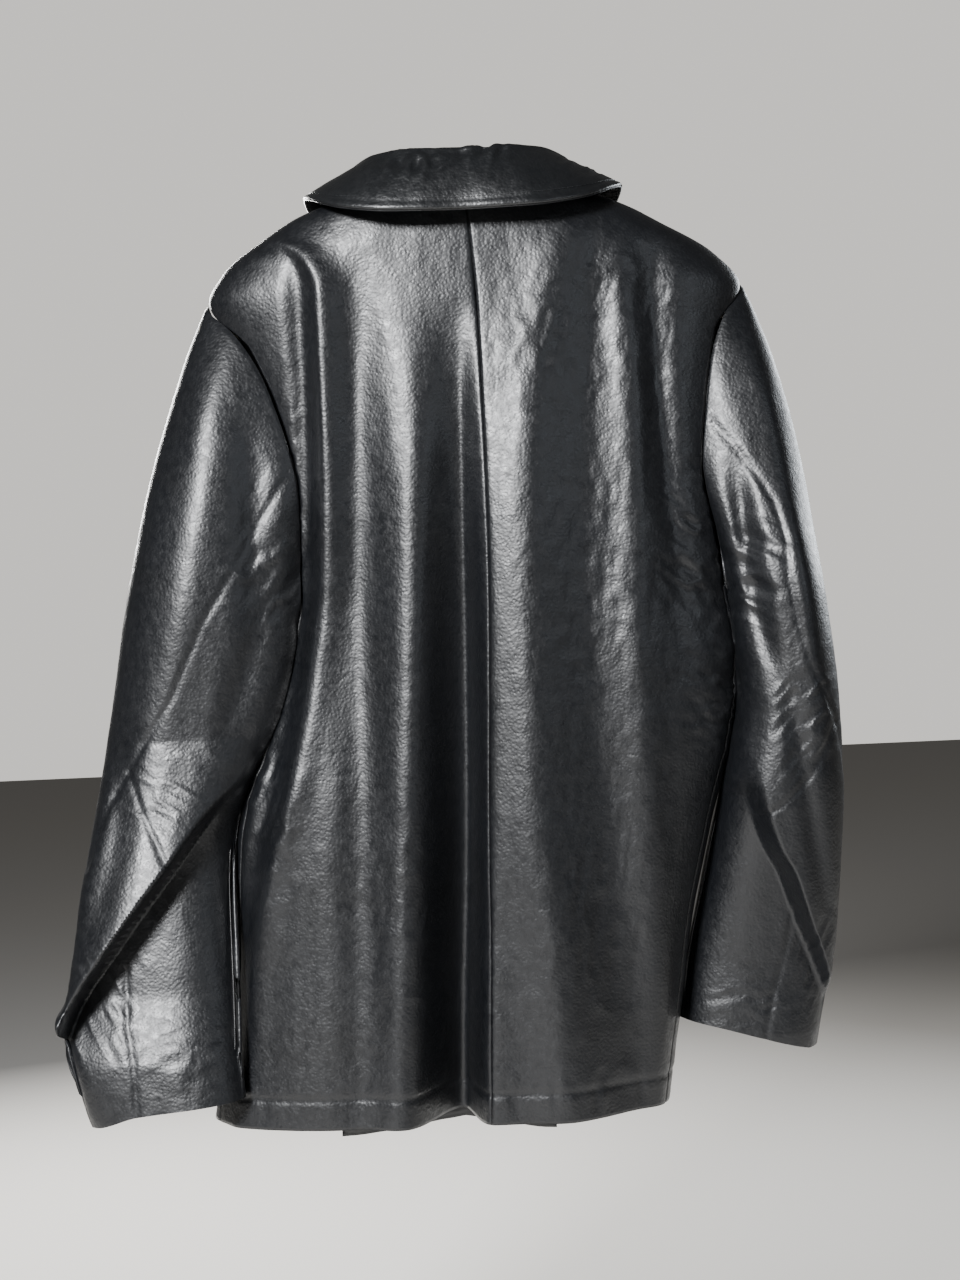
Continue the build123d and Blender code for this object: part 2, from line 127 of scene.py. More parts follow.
def through(points: Sequence[Sequence[float]], count: int, closed: bool = False) -> Array:
    """Smooth space curve through points, sampled evenly along its length.

    Args:
        points: the points that the curve passes.
        count: number of samples; a closed curve doesn't repeat its first.
        closed: whether the curve joins up.

    Returns:
        Samples as an array of count rows.
    """
    p = np.array(points, float)
    if closed:
        p = np.vstack([p[-1], p, p[0], p[1]])
    else:
        p = np.vstack([2 * p[0] - p[1], p, 2 * p[-1] - p[-2]])
    fine = []
    for a, b, c, d in zip(p, p[1:], p[2:], p[3:]):
        t = np.linspace(0, 1, 24, endpoint=False)[:, None]
        fine.append(
            0.5 * (2 * b + (c - a) * t + (2 * a - 5 * b + 4 * c - d) * t ** 2
                   + (3 * b - a - 3 * c + d) * t ** 3)
        )
    fine = np.vstack(fine + [p[-2][None]])
    run = np.concatenate([[0], np.cumsum(np.linalg.norm(np.diff(fine, axis=0), axis=1))])
    want = np.linspace(0, run[-1], count, endpoint=not closed)
    return np.stack([np.interp(want, run, fine[:, k]) for k in range(p.shape[1])], axis=1)


def noise(x: Array, y: Array, seed: int) -> Array:
    """Smooth random field between about -1 and 1, one bump to a unit.

    Args:
        x: first coordinate, in bumps.
        y: second coordinate, in bumps.
        seed: which field.

    Returns:
        The field's values.
    """
    size = 64
    lattice = np.random.default_rng(seed).uniform(-1, 1, (size, size))
    xi, yi = np.floor(x).astype(int), np.floor(y).astype(int)
    u, v = x - xi, y - yi
    u, v = u * u * u * (u * (6 * u - 15) + 10), v * v * v * (v * (6 * v - 15) + 10)
    a, b = lattice[xi % size, yi % size], lattice[(xi + 1) % size, yi % size]
    c, d = lattice[xi % size, (yi + 1) % size], lattice[(xi + 1) % size, (yi + 1) % size]
    return 1.4 * ((a * (1 - u) + b * u) * (1 - v) + (c * (1 - u) + d * u) * v)


def distance_to(x: Array, z: Array, path: Path) -> Array:
    """Distance of each point (x, z) from a line drawn through a path's points.

    Args:
        x: the points' x.
        z: the points' height.
        path: the points of the line.

    Returns:
        The distances.
    """
    best = np.full(np.broadcast(x, z).shape, 1e9)
    for (ax, az), (bx, bz) in zip(path, path[1:]):
        dx, dz = bx - ax, bz - az
        t = np.clip(((x - ax) * dx + (z - az) * dz) / (dx * dx + dz * dz), 0, 1)
        best = np.minimum(best, np.hypot(x - ax - t * dx, z - az - t * dz))
    return best


# ---- folds ------------------------------------------------------------------------------------
@dataclass(frozen=True)
class Fold:
    """A long fold: where it runs, how deep it is (above 0 sinks in) and how wide on each side.

    path and depth are tables over the height; left and right are half widths.
    """

    path: Table
    depth: Table
    left: float
    right: float

    def sink(self, x: Array, z: Array) -> Array:
        """How far the fold takes the leather inwards at (x, z)."""
        off = x - Curve(self.path)(z)
        width = np.where(off < 0, self.left, self.right)
        return Curve(self.depth)(z) * bell(off / width)


@dataclass(frozen=True)
class Crumple:
    """A patch of short sharp creases: its middle, its reach and how high the creases stand."""

    x: float
    z: float
    reach_x: float
    reach_z: float
    height: float
    size: float
    slant: float
    seed: int

    def rise(self, x: Array, z: Array) -> Array:
        """How far the creases stand out at (x, z).

        Args:
            x: the points' x.
            z: the points' height.

        Returns:
            The height of the creases.
        """
        c, s = math.cos(math.radians(self.slant)), math.sin(math.radians(self.slant))
        along, across = (x * c + z * s) / (self.size * 2.6), (z * c - x * s) / self.size
        ridges = 1 - 2 * np.abs(noise(along, across, self.seed))
        mask = bell((x - self.x) / self.reach_x) * bell((z - self.z) / self.reach_z)
        return self.height * mask * ridges


def suppleness(along: Array, down: Array, seed: int) -> Array:
    """Slight unevenness of hanging leather: slow waves, drag lines and small dimples.

    Args:
        along: distance across the piece.
        down: height.
        seed: which pattern.

    Returns:
        How far the leather stands out.
    """
    return (
        1.0 * noise(along / 70, down / 160, seed)
        + 0.45 * noise(along / 24, down / 90, seed + 1)
        + 0.16 * noise(along / 9, down / 20, seed + 2)
        + 0.07 * noise(along / 5, down / 6, seed + 3)
    )


# ---- finishes ---------------------------------------------------------------------------------
def linear(hex_colour: str) -> tuple[float, float, float, float]:
    """Turns an sRGB hex colour to the linear one that a shader takes."""
    parts = [int(hex_colour[i:i + 2], 16) / 255 for i in (1, 3, 5)]
    low = [c / 12.92 if c <= 0.04045 else ((c + 0.055) / 1.055) ** 2.4 for c in parts]
    return (low[0], low[1], low[2], 1.0)


def add_node(tree: bpy.types.NodeTree, kind: str, links: Optional[dict] = None,
             values: Optional[dict] = None, **settings: object) -> bpy.types.Node:
    """Adds one node with its settings, values and links.

    Args:
        tree: the tree that gets the node.
        kind: the node's type name.
        links: input name or index to the output socket that feeds it.
        values: input name or index to the value it is set to.
        **settings: properties of the node itself.

    Returns:
        The new node.
    """
    node = tree.nodes.new(kind)
    for name, value in settings.items():
        setattr(node, name, value)
    for name, value in (values or {}).items():
        node.inputs[name].default_value = value
    for name, socket in (links or {}).items():
        tree.links.new(socket, node.inputs[name])
    return node


def new_material(name: str) -> tuple[bpy.types.Material, bpy.types.NodeTree, bpy.types.Node]:
    """Makes a material with an empty tree but for its output.

    Args:
        name: the material's name.

    Returns:
        The material, its tree and its output node.
    """
    material = bpy.data.materials.new(name)
    material.use_nodes = True
    tree = material.node_tree
    tree.nodes.clear()
    return material, tree, add_node(tree, "ShaderNodeOutputMaterial")


@dataclass(frozen=True)
class Nappa:
    """Lambskin nappa, drum dyed near black and plated: a soft pearly gloss over a fine grain.

    Pores of the real skin stand about 0.5 mm apart; they are drawn 2.3 mm apart to show.
    """

    name: str = "nappa_leather"
    deep: str = "#08090b"
    pale: str = "#121418"
    roughness: float = 0.41
    roughness_spread: float = 0.09
    coat: float = 0.1
    coat_roughness: float = 0.3
    pore_mm: float = 2.3
    crease_mm: float = 6.0
    relief: float = 0.9

    def make(self) -> bpy.types.Material:
        """Builds the material.

        Returns:
            The new material.
        """
        material, tree, output = new_material(self.name)
        place = add_node(tree, "ShaderNodeTexCoord").outputs["Object"]
        cloud = add_node(
            tree, "ShaderNodeTexNoise", {"Vector": place},
            {"Scale": 1 / (60 * MM), "Detail": 5.0, "Roughness": 0.62},
        )
        pores = add_node(
            tree, "ShaderNodeTexVoronoi", {"Vector": place}, {"Scale": 1 / (self.pore_mm * MM)},
            feature="SMOOTH_F1",
        )
        creases = add_node(
            tree, "ShaderNodeTexNoise", {"Vector": place},
            {"Scale": 1 / (self.crease_mm * MM), "Detail": 6.0, "Roughness": 0.6,
             "Distortion": 0.6},
        )
        relief = add_node(
            tree, "ShaderNodeMix", {2: pores.outputs["Distance"], 3: creases.outputs["Fac"]},
            {0: 0.45}, data_type="FLOAT",
        )
        bump = add_node(
            tree, "ShaderNodeBump", {"Height": relief.outputs[0]},
            {"Strength": self.relief, "Distance": 0.5 * MM},
        )
        tint = add_node(tree, "ShaderNodeMix", {0: cloud.outputs["Fac"]}, data_type="RGBA")
        tint.inputs[6].default_value = linear(self.deep)
        tint.inputs[7].default_value = linear(self.pale)
        rough = add_node(
            tree, "ShaderNodeMapRange", {"Value": creases.outputs["Fac"]},
            {"From Min": 0.3, "From Max": 0.7, "To Min": self.roughness - self.roughness_spread,
             "To Max": self.roughness + self.roughness_spread},
        )
        shader = add_node(
            tree, "ShaderNodeBsdfPrincipled",
            {"Base Color": tint.outputs[2], "Roughness": rough.outputs["Result"],
             "Normal": bump.outputs["Normal"]},
            {"IOR": 1.5, "Specular IOR Level": 0.62, "Coat Weight": self.coat,
             "Coat Roughness": self.coat_roughness},
        )
        tree.links.new(shader.outputs[0], output.inputs["Surface"])
        return material


@dataclass(frozen=True)
class Cloth:
    """Woven cloth: satin lining or felt padding, by its colours, its gloss and its thread."""

    name: str
    deep: str
    pale: str
    roughness: float
    thread_mm: float
    relief: float
    sheen: float = 0.0

    def make(self) -> bpy.types.Material:
        """Builds the material.

        Returns:
            The new material.
        """
        material, tree, output = new_material(self.name)
        place = add_node(tree, "ShaderNodeTexCoord").outputs["Object"]
        turned = add_node(
            tree, "ShaderNodeMapping", {"Vector": place}, {"Rotation": (0.0, math.radians(52), 0.0)}
        )
        rib = add_node(
            tree, "ShaderNodeTexWave", {"Vector": turned.outputs[0]},
            {"Scale": 1 / (2 * math.pi * self.thread_mm * MM) * 2, "Distortion": 1.2,
             "Detail": 2.0},
            bands_direction="Z",
        )
        cloud = add_node(
            tree, "ShaderNodeTexNoise", {"Vector": place}, {"Scale": 45.0, "Detail": 4.0}
        )
        tint = add_node(tree, "ShaderNodeMix", {0: cloud.outputs["Fac"]}, data_type="RGBA")
        tint.inputs[6].default_value = linear(self.deep)
        tint.inputs[7].default_value = linear(self.pale)
        bump = add_node(
            tree, "ShaderNodeBump", {"Height": rib.outputs["Fac"]},
            {"Strength": self.relief, "Distance": 0.2 * MM},
        )
        shader = add_node(
            tree, "ShaderNodeBsdfPrincipled",
            {"Base Color": tint.outputs[2], "Normal": bump.outputs["Normal"]},
            {"Roughness": self.roughness, "Sheen Weight": self.sheen},
        )
        tree.links.new(shader.outputs[0], output.inputs["Surface"])
        return material


@dataclass(frozen=True)
class Horn:
    """Polished black horn of a jacket button: a hard gloss over faint streaks."""

    name: str = "polished_horn"
    deep: str = "#0b0b0c"
    pale: str = "#1f1b18"
    roughness: float = 0.16

    def make(self) -> bpy.types.Material:
        """Builds the material.

        Returns:
            The new material.
        """
        material, tree, output = new_material(self.name)
        place = add_node(tree, "ShaderNodeTexCoord").outputs["Object"]
        streaks = add_node(
            tree, "ShaderNodeTexNoise", {"Vector": place},
            {"Scale": 1 / (5 * MM), "Detail": 6.0, "Distortion": 2.5},
        )
        tint = add_node(tree, "ShaderNodeMix", {0: streaks.outputs["Fac"]}, data_type="RGBA")
        tint.inputs[6].default_value = linear(self.deep)
        tint.inputs[7].default_value = linear(self.pale)
        shader = add_node(
            tree, "ShaderNodeBsdfPrincipled", {"Base Color": tint.outputs[2]},
            {"Roughness": self.roughness, "IOR": 1.54},
        )
        tree.links.new(shader.outputs[0], output.inputs["Surface"])
        return material


class Finish(Enum):
    """The finishes of the jacket, with the record's slot for each."""

    LEATHER = (Nappa(), "leather")
    COLLAR = (
        Nappa(name="collar_leather", deep="#0b0c0e", pale="#151719", roughness=0.38, coat=0.25,
              coat_roughness=0.26),
        "leather",
    )
    LINING = (Cloth("satin_lining", "#0c0d0f", "#17181b", 0.38, 0.9, 0.25, 0.2), "lining_cloth")
    FELT = (Cloth("felt_padding", "#77746c", "#938f86", 0.95, 2.2, 0.6, 0.3), "padding")
    THREAD = (Cloth("sewing_thread", "#0a0b0c", "#1d1f22", 0.5, 0.5, 0.4), "leather")
    BUTTON = (Horn(), "buttons")


MATERIALS: dict[Finish, bpy.types.Material] = {}


def dress(piece: bpy.types.Object, finish: Finish) -> None:
    """Gives a piece its material.

    Args:
        piece: the mesh.
        finish: its finish.
    """
    if finish not in MATERIALS:
        MATERIALS[finish] = finish.value[0].make()
    piece.data.materials.clear()
    piece.data.materials.append(MATERIALS[finish])


# ---- meshes -----------------------------------------------------------------------------------
def make_object(name: str, points: Array, faces: Array, flat_from: int) -> bpy.types.Object:
    """Makes an object from points in millimetres and four-cornered faces.

    Args:
        name: the piece's name.
        points: one row of x, y, z for each vertex.
        faces: one row of four vertex numbers for each face.
        flat_from: number of the first face that is shaded flat.

    Returns:
        The new object, linked to the scene.
    """
    mesh = bpy.data.meshes.new(name)
    mesh.vertices.add(len(points))
    mesh.vertices.foreach_set("co", (np.asarray(points, np.float32) * MM).ravel())
    mesh.loops.add(faces.size)
    mesh.loops.foreach_set("vertex_index", faces.ravel().astype(np.int32))
    mesh.polygons.add(len(faces))
    mesh.polygons.foreach_set("loop_start", np.arange(0, faces.size, 4, dtype=np.int32))
    smooth = np.ones(len(faces), bool)
    smooth[flat_from:] = False
    mesh.polygons.foreach_set("use_smooth", smooth)
    mesh.update(calc_edges=True)
    mesh.validate()
    piece = bpy.data.objects.new(name, mesh)
    bpy.context.scene.collection.objects.link(piece)
    return piece


def normals_of(grid: Array, closed: bool = False) -> Array:
    """Unit normals of a grid of points, on the side of (down the rows) x (along the columns).

    Args:
        grid: rows, columns and coordinates.
        closed: whether the columns join up.

    Returns:
        The normals, in the same shape.
    """
    if closed:
        wrapped = np.concatenate([grid[:, -1:], grid, grid[:, :1]], axis=1)
        along = wrapped[:, 2:] - wrapped[:, :-2]
    else:
        along = np.gradient(grid, axis=1)
    down = np.gradient(grid, axis=0)
    normal = np.cross(down, along)
    size = np.linalg.norm(normal, axis=2, keepdims=True)
    return normal / np.maximum(size, 1e-9)


def quads(number: Array) -> Array:
    """Four-cornered faces between the neighbouring rows and columns of vertex numbers."""
    return np.stack(
        [number[:-1, :-1], number[1:, :-1], number[1:, 1:], number[:-1, 1:]], axis=-1
    ).reshape(-1, 4)


def two_faced(rows: int, columns: int, closed: bool = False) -> Array:
    """Faces of an outer grid, of an inner grid numbered after it, and of the rim between them.

    Args:
        rows: rows of each grid.
        columns: columns of each grid.
        closed: whether the columns join up into a tube.

    Returns:
        The faces, the rim's last.
    """
    offset = rows * columns
    number = np.arange(offset).reshape(rows, columns)
    if closed:
        number = np.concatenate([number, number[:, :1]], axis=1)
    rims = [(number[0, :-1], number[0, 1:]), (number[-1, 1:], number[-1, :-1])]
    if not closed:
        rims += [(number[1:, 0], number[:-1, 0]), (number[:-1, -1], number[1:, -1])]
    rim = np.vstack([np.stack([p, q, q + offset, p + offset], axis=-1) for p, q in rims])
    outer = quads(number)
    return np.vstack([outer, outer[:, ::-1] + offset, rim])


def shell(name: str, grid: Array, thickness: float, outwards: int = 1, closed: bool = False,
          normals: Optional[Array] = None) -> bpy.types.Object:
    """Makes a sheet of leather or cloth with a thickness from the grid of its outer face.

    Args:
        name: the piece's name.
        grid: rows, columns and coordinates of the outer face, in millimetres.
        thickness: how thick the sheet is, inwards.
        outwards: 1 if (down x along) points outwards, -1 if it points inwards.
        closed: whether the columns join up into a tube.
        normals: normals of the outer face where they come from a larger grid, so that two
            sheets cut from it meet without a visible line.

    Returns:
        The new object.
    """
    rows, columns = grid.shape[:2]
    facing = (normals_of(grid, closed) if normals is None else normals) * outwards
    inner = grid - facing * thickness
    points = np.vstack([grid.reshape(-1, 3), inner.reshape(-1, 3)])
    faces = two_faced(rows, columns, closed)
    if outwards < 0:
        faces = faces[:, ::-1]
    if normals is None:
        across = columns if closed else columns - 1
        return make_object(name, points, faces, 2 * (rows - 1) * across)
    piece = make_object(name, points, faces, len(faces))
    both = np.vstack([facing.reshape(-1, 3), -facing.reshape(-1, 3)])
    piece.data.normals_split_custom_set_from_vertices(both.tolist())
    return piece


def report(piece: bpy.types.Object) -> None:
    """Logs a finished piece."""
    LOG.info("%s: %d faces", piece.name, len(piece.data.polygons))


def settle(piece: bpy.types.Object, finish: Finish, body: str, *nodes: str) -> None:
    """Dresses a piece, lets it stand for its nodes and ride on its body.

    Args:
        piece: the finished mesh.
        finish: its finish.
        body: the body that it rides on.
        *nodes: the nodes that it replaces.
    """
    dress(piece, finish)
    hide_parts(*nodes)
    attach(piece, body)
    report(piece)


# ---- the jacket's outline ---------------------------------------------------------------------
HEM_Z = -757.0
ARMPIT_Z = -335.0
CENTRE_SEAM: Table = [(0, 5), (-118, 11), (-256, 12), (-482, 4), (-760, -7)]
ARMHOLE_BACK: Table = [(0, 0), (-60, 0), (-84, 8), (-122, 27), (-225, 30), (-335, 20), (-727, 16)]
ARMHOLE_FRONT: Table = [(0, 0), (-60, 0), (-84, 8), (-122, 34), (-225, 38), (-335, 25)]
ROLL_LINE: Table = [(0, 78), (-60, 60), (-205, -2), (-380, -64)]


@dataclass
class BodyShape:
    """Outline of the jacket's body at every height, with its folds."""

    centre_x: Table = (
        (0, 0), (-30, 2), (-82, 9), (-176, 20), (-250, 25), (-330, 30), (-378, 29), (-411, 24),
        (-455, 12), (-493, -2), (-531, -11), (-597, -21), (-640, -26), (-757, -46), (-775, -48),
    )
    centre_y: Table = ((0, -8), (-30, -4), (-82, 0), (-176, 4), (-330, 6), (-775, 8))
    half_width: Table = (
        (0, 86), (-10, 130), (-30, 168), (-54, 204), (-82, 223), (-116, 212), (-176, 196),
        (-250, 185), (-330, 184), (-378, 191), (-411, 195), (-455, 200), (-493, 202),
        (-531, 200), (-597, 193), (-640, 190), (-775, 191),
    )
    half_depth: Table = (
        (0, 58), (-30, 62), (-82, 66), (-176, 74), (-250, 78), (-330, 80), (-531, 85), (-775, 90),
    )
    back_folds: Sequence[Fold] = (
        Fold([(-150, -7), (-330, -10), (-500, -15), (-655, -24), (-760, -29)],
             [(-90, 0), (-176, 11), (-330, 32), (-500, 50), (-655, 62), (-760, 68)], 27, 12),
        Fold([(-180, -32), (-415, -52), (-760, -72)],
             [(-110, 0), (-220, -5), (-415, -8), (-760, -7)], 26, 20),
        Fold([(-60, -84), (-330, -92), (-760, -108)],
             [(-40, 0), (-140, 7), (-330, 9), (-560, 9), (-760, 5)], 20, 22),
        Fold([(-31, -160), (-50, -130), (-80, -117), (-185, -118), (-298, -123), (-395, -138),
              (-475, -154), (-547, -176), (-620, -192), (-760, -214)],
             [(-20, 0), (-60, -6), (-150, -8), (-400, -9), (-620, -6), (-760, -3)], 7, 16),
        Fold([(-60, -134), (-185, -133), (-298, -137), (-395, -152), (-547, -192), (-760, -228)],
             [(-40, 0), (-110, 5), (-300, 7), (-480, 6), (-640, 2)], 9, 8),
        Fold([(-40, 84), (-130, 57), (-300, 42), (-500, 42), (-640, 54), (-760, 58)],
             [(-20, 0), (-60, -4), (-130, -6), (-300, -9), (-560, -11), (-760, -9)], 26, 24),
        Fold([(-60, 112), (-330, 92), (-560, 100), (-760, 112)],
             [(-30, 0), (-120, 4), (-400, 4), (-600, 6), (-760, 5)], 18, 24),
        Fold([(-60, 126), (-200, 132), (-400, 132), (-760, 140)],
             [(-30, 0), (-110, -4), (-300, -4), (-760, -6)], 16, 14),
        Fold([(-60, 154), (-180, 156), (-330, 165)],
             [(-40, 0), (-90, 6), (-190, 7), (-330, 3), (-420, 0)], 11, 12),
    )
    front_folds: Sequence[Fold] = (
        Fold([(-200, -120), (-757, -150)], [(-150, 0), (-330, -5), (-757, -7)], 24, 24),
        Fold([(-200, -60), (-757, -84)], [(-200, 0), (-420, 4), (-757, 6)], 22, 26),
        Fold([(-200, 116), (-757, 96)], [(-150, 0), (-330, -5), (-757, -8)], 26, 22),
        Fold([(-200, 64), (-757, 40)], [(-260, 0), (-450, 4), (-757, 5)], 20, 22),
    )
    crumples: Sequence[Crumple] = (
        Crumple(150, -120, 26, 80, 0.6, 6, 80, 11),
        Crumple(110, -70, 46, 40, 0.5, 6, 66, 12),
        Crumple(64, -130, 40, 60, 0.5, 7, 76, 13),
        Crumple(176, -300, 26, 60, 1.5, 8, -38, 14),
        Crumple(196, -420, 24, 46, 1.3, 8, -28, 15),
        Crumple(-150, -250, 22, 90, 0.7, 8, 70, 16),
        Crumple(-176, -500, 24, 80, 0.8, 8, 66, 17),
        Crumple(-60, -600, 70, 130, 0.35, 9, 74, 18),
        Crumple(100, -330, 70, 170, 0.35, 7, 82, 19),
        Crumple(90, -600, 60, 120, 0.4, 9, 80, 20),
    )
    turn_up: float = 24.0
    pucker: float = 0.9

    def __post_init__(self) -> None:
        """Turns the tables into curves."""
        self.cx, self.cy = Curve(self.centre_x), Curve(self.centre_y)
        self.hw, self.hd = Curve(self.half_width), Curve(self.half_depth)

    def outline(self, angle: Array, z: Array) -> tuple[Array, Array]:
        """Outline point at angles in degrees and heights, with the large folds.

        Args:
            angle: angles round the body.
            z: heights.

        Returns:
            The points' x and y.
        """
        a = np.radians(angle)
        x = self.cx(z) + self.hw(z) * fuller(np.cos(a))
        y = self.cy(z) + self.hd(z) * fuller(np.sin(a))
        side = smoothstep(np.abs(np.sin(a)) / 0.45)
        back = sum(fold.sink(x, z) for fold in self.back_folds)
        front = sum(fold.sink(x, z) for fold in self.front_folds)
        return x, y + np.where(np.sin(a) < 0, back * side, -front * side)

    def inset(self, angle: Array, z: Array, depth: Array) -> Array:
        """Points a depth inside the outline, square to it; a negative depth is outside.

        Args:
            angle: angles round the body.
            z: heights.
            depth: how far inside.

        Returns:
            The points.
        """
        x, y = self.outline(angle, z)
        xa, ya = self.outline(angle + 0.35, z)
        xb, yb = self.outline(angle - 0.35, z)
        dx, dy = xa - xb, ya - yb
        size = np.maximum(np.hypot(dx, dy), 1e-6)
        return np.stack([x - dy / size * depth, y + dx / size * depth, z + 0 * x], axis=-1)

    def surface(self, angle: Array, z: Array, depth: Array = 0.0, seed: int = 3) -> Array:
        """Points of the leather, with its creases, its dimples and its hem turn-up.

        Args:
            angle: angles round the body.
            z: heights.
            depth: how far inside the outline.
            seed: which unevenness.

        Returns:
            The points.
        """
        x, _ = self.outline(angle, z)
        behind = np.sin(np.radians(angle)) < 0
        around = np.where(behind, x, x + 640)
        rise = 0.75 * suppleness(around, z, seed)
        rise = rise + np.where(behind, sum(patch.rise(x, z) for patch in self.crumples), 0.0)
        hem = HEM_Z + self.turn_up
        rise = rise - 0.9 * bell((z - hem) / 2.4)
        near_hem = bell((z - hem) / 15) * (0.5 + 0.5 * bell((around - 110) / 90))
        rise = rise + self.pucker * near_hem * noise(around / 6.5, z / 34, 31)
        return self.inset(angle, z, depth - rise)

    def angle_at(self, x: Array, z: Array, front: bool) -> Array:
        """Angle at which the outline passes over x, on its front or its back."""
        share = np.clip((x - self.cx(z)) / self.hw(z), -1, 1)
        angle = np.degrees(np.arccos(np.sign(share) * np.abs(share) ** 1.25))
        return angle if front else 360 - angle


BODY = BodyShape()


def spread(shape: BodyShape, start: Array, end: Array, z: Array, columns: int) -> Array:
    """Angles for a panel's grid, evenly far apart along the outline at each height.

    Args:
        shape: the body.
        start: angle of the first column at each height.
        end: angle of the last column at each height.
        z: the heights.
        columns: number of columns.

    Returns:
        Angles with a row for each height.
    """
    trial = np.linspace(0, 1, 241)[None, :]
    angles = start[:, None] + (end - start)[:, None] * trial
    x, y = shape.outline(angles, z[:, None] + 0 * angles)
    step = np.hypot(np.diff(x, axis=1), np.diff(y, axis=1))
    run = np.concatenate([np.zeros((len(z), 1)), np.cumsum(step, axis=1)], axis=1)
    run /= run[:, -1:]
    want = np.linspace(0, 1, columns)
    return np.stack([np.interp(want, r, a) for r, a in zip(run, angles)])


@dataclass
class Panel:
    """A piece cut from the body's outline: two edges, a top and a bottom, and a depth.

    It sinks by groove into the seam along each edge.
    """

    name: str
    start: Callable[[Array], Array]
    end: Callable[[Array], Array]
    top: float
    bottom: float
    depth: Callable[[Array, Array], Array] = lambda angle, z: 0.0
    hang: Callable[[Array, Array], Array] = lambda angle, z: 0.0
    thickness: float = 1.4
    spacing: float = 2.4
    creased: bool = True
    groove: float = 0.7
    groove_width: float = 1.9

    def build(self) -> bpy.types.Object:
        """Makes the panel's mesh.

        Returns:
            The new object.
        """
        rows = max(4, round((self.top - self.bottom) / self.spacing))
        z = np.linspace(self.top, self.bottom, rows)
        start, end = self.start(z), self.end(z)
        probe = BODY.inset(np.linspace(0, 1, 90) * (end - start).mean() + start.mean(),
                           np.full(90, z.mean()), 0.0)
        width = np.linalg.norm(np.diff(probe, axis=0), axis=1).sum()
        columns = max(4, round(width / self.spacing))
        angles = spread(BODY, start, end, z, columns)
        heights = z[:, None] + 0 * angles
        depth = self.depth(angles, heights) + 0 * angles
        heights = heights + self.hang(angles, heights)
        along = np.arange(columns) * self.spacing
        for run in (along, along[-1] - along):
            depth = depth + self.groove * bell(run / self.groove_width)[None, :]
        skin = BODY.surface if self.creased else BODY.inset
        return shell(self.name, skin(angles, heights, depth), self.thickness)


def lining_depth(z: Array) -> Array:
    """How far in the lining lies; it runs further in under the shoulder pads."""
    return 6.6 + 12.0 * Curve([(0, 0.2), (-54, 1), (-122, 1), (-176, 0), (HEM_Z, 0)])(z)


# ---- back and sides ---------------------------------------------------------------------------
@dataclass
class Back:
    """The two back panels, the two side panels, the back lining and the neck facing."""

    gap: float = 0.02
    lining_end: float = HEM_Z + 18

    def centre(self, z: Array) -> Array:
        """Angle of the centre back seam."""
        return BODY.angle_at(Curve(CENTRE_SEAM)(z), z, front=False)

    def build(self) -> None:
        """Makes and dresses every piece of the back."""
        armhole = Curve(ARMHOLE_BACK)
        gap = self.gap
        for panel, finish, node in (
            (Panel("back_left_leather", lambda z: 180 + armhole(z) + gap,
                   lambda z: self.centre(z) - gap, -1, HEM_Z), Finish.LEATHER,
             "back_panel_left"),
            (Panel("back_right_leather", lambda z: self.centre(z) + gap,
                   lambda z: 360 - armhole(z) - gap, -1, HEM_Z), Finish.LEATHER,
             "back_panel_right"),
            (Panel("side_left_leather", lambda z: 155.3 + 0 * z,
                   lambda z: 180 + armhole(z) - gap, ARMPIT_Z + 3, HEM_Z), Finish.LEATHER,
             "side_panel_left"),
            (Panel("side_right_leather", lambda z: -armhole(z) + gap, lambda z: 24.7 + 0 * z,
                   ARMPIT_Z + 3, HEM_Z), Finish.LEATHER, "side_panel_right"),
            (Panel("back_lining_satin", lambda z: 180 + armhole(z) + 3 - 15 * (z < ARMPIT_Z),
                   lambda z: 360 - armhole(z) - 3 + 15 * (z < ARMPIT_Z), -62, self.lining_end,
                   lambda angle, z: lining_depth(z) + 0.5 * noise(angle / 5, z / 60, 41),
                   thickness=0.5, spacing=5.0, creased=False), Finish.LINING, "back_lining"),
            (Panel("back_neck_facing_leather", lambda z: 214 + 0 * z, lambda z: 326 + 0 * z,
                   -1.5, -66, lambda angle, z: 3.0, thickness=0.9, spacing=3.5,
                   creased=False), Finish.LEATHER,
             "back_neck_facing"),
        ):
            settle(panel.build(), finish, "root", node)


# ---- fronts -----------------------------------------------------------------------------------
class Side(Enum):
    """The wearer's two sides: the sign of x on each."""

    RIGHT = 1
    LEFT = -1

    @property
    def word(self) -> str:
        """The side's name in lower case."""
        return self.name.lower()


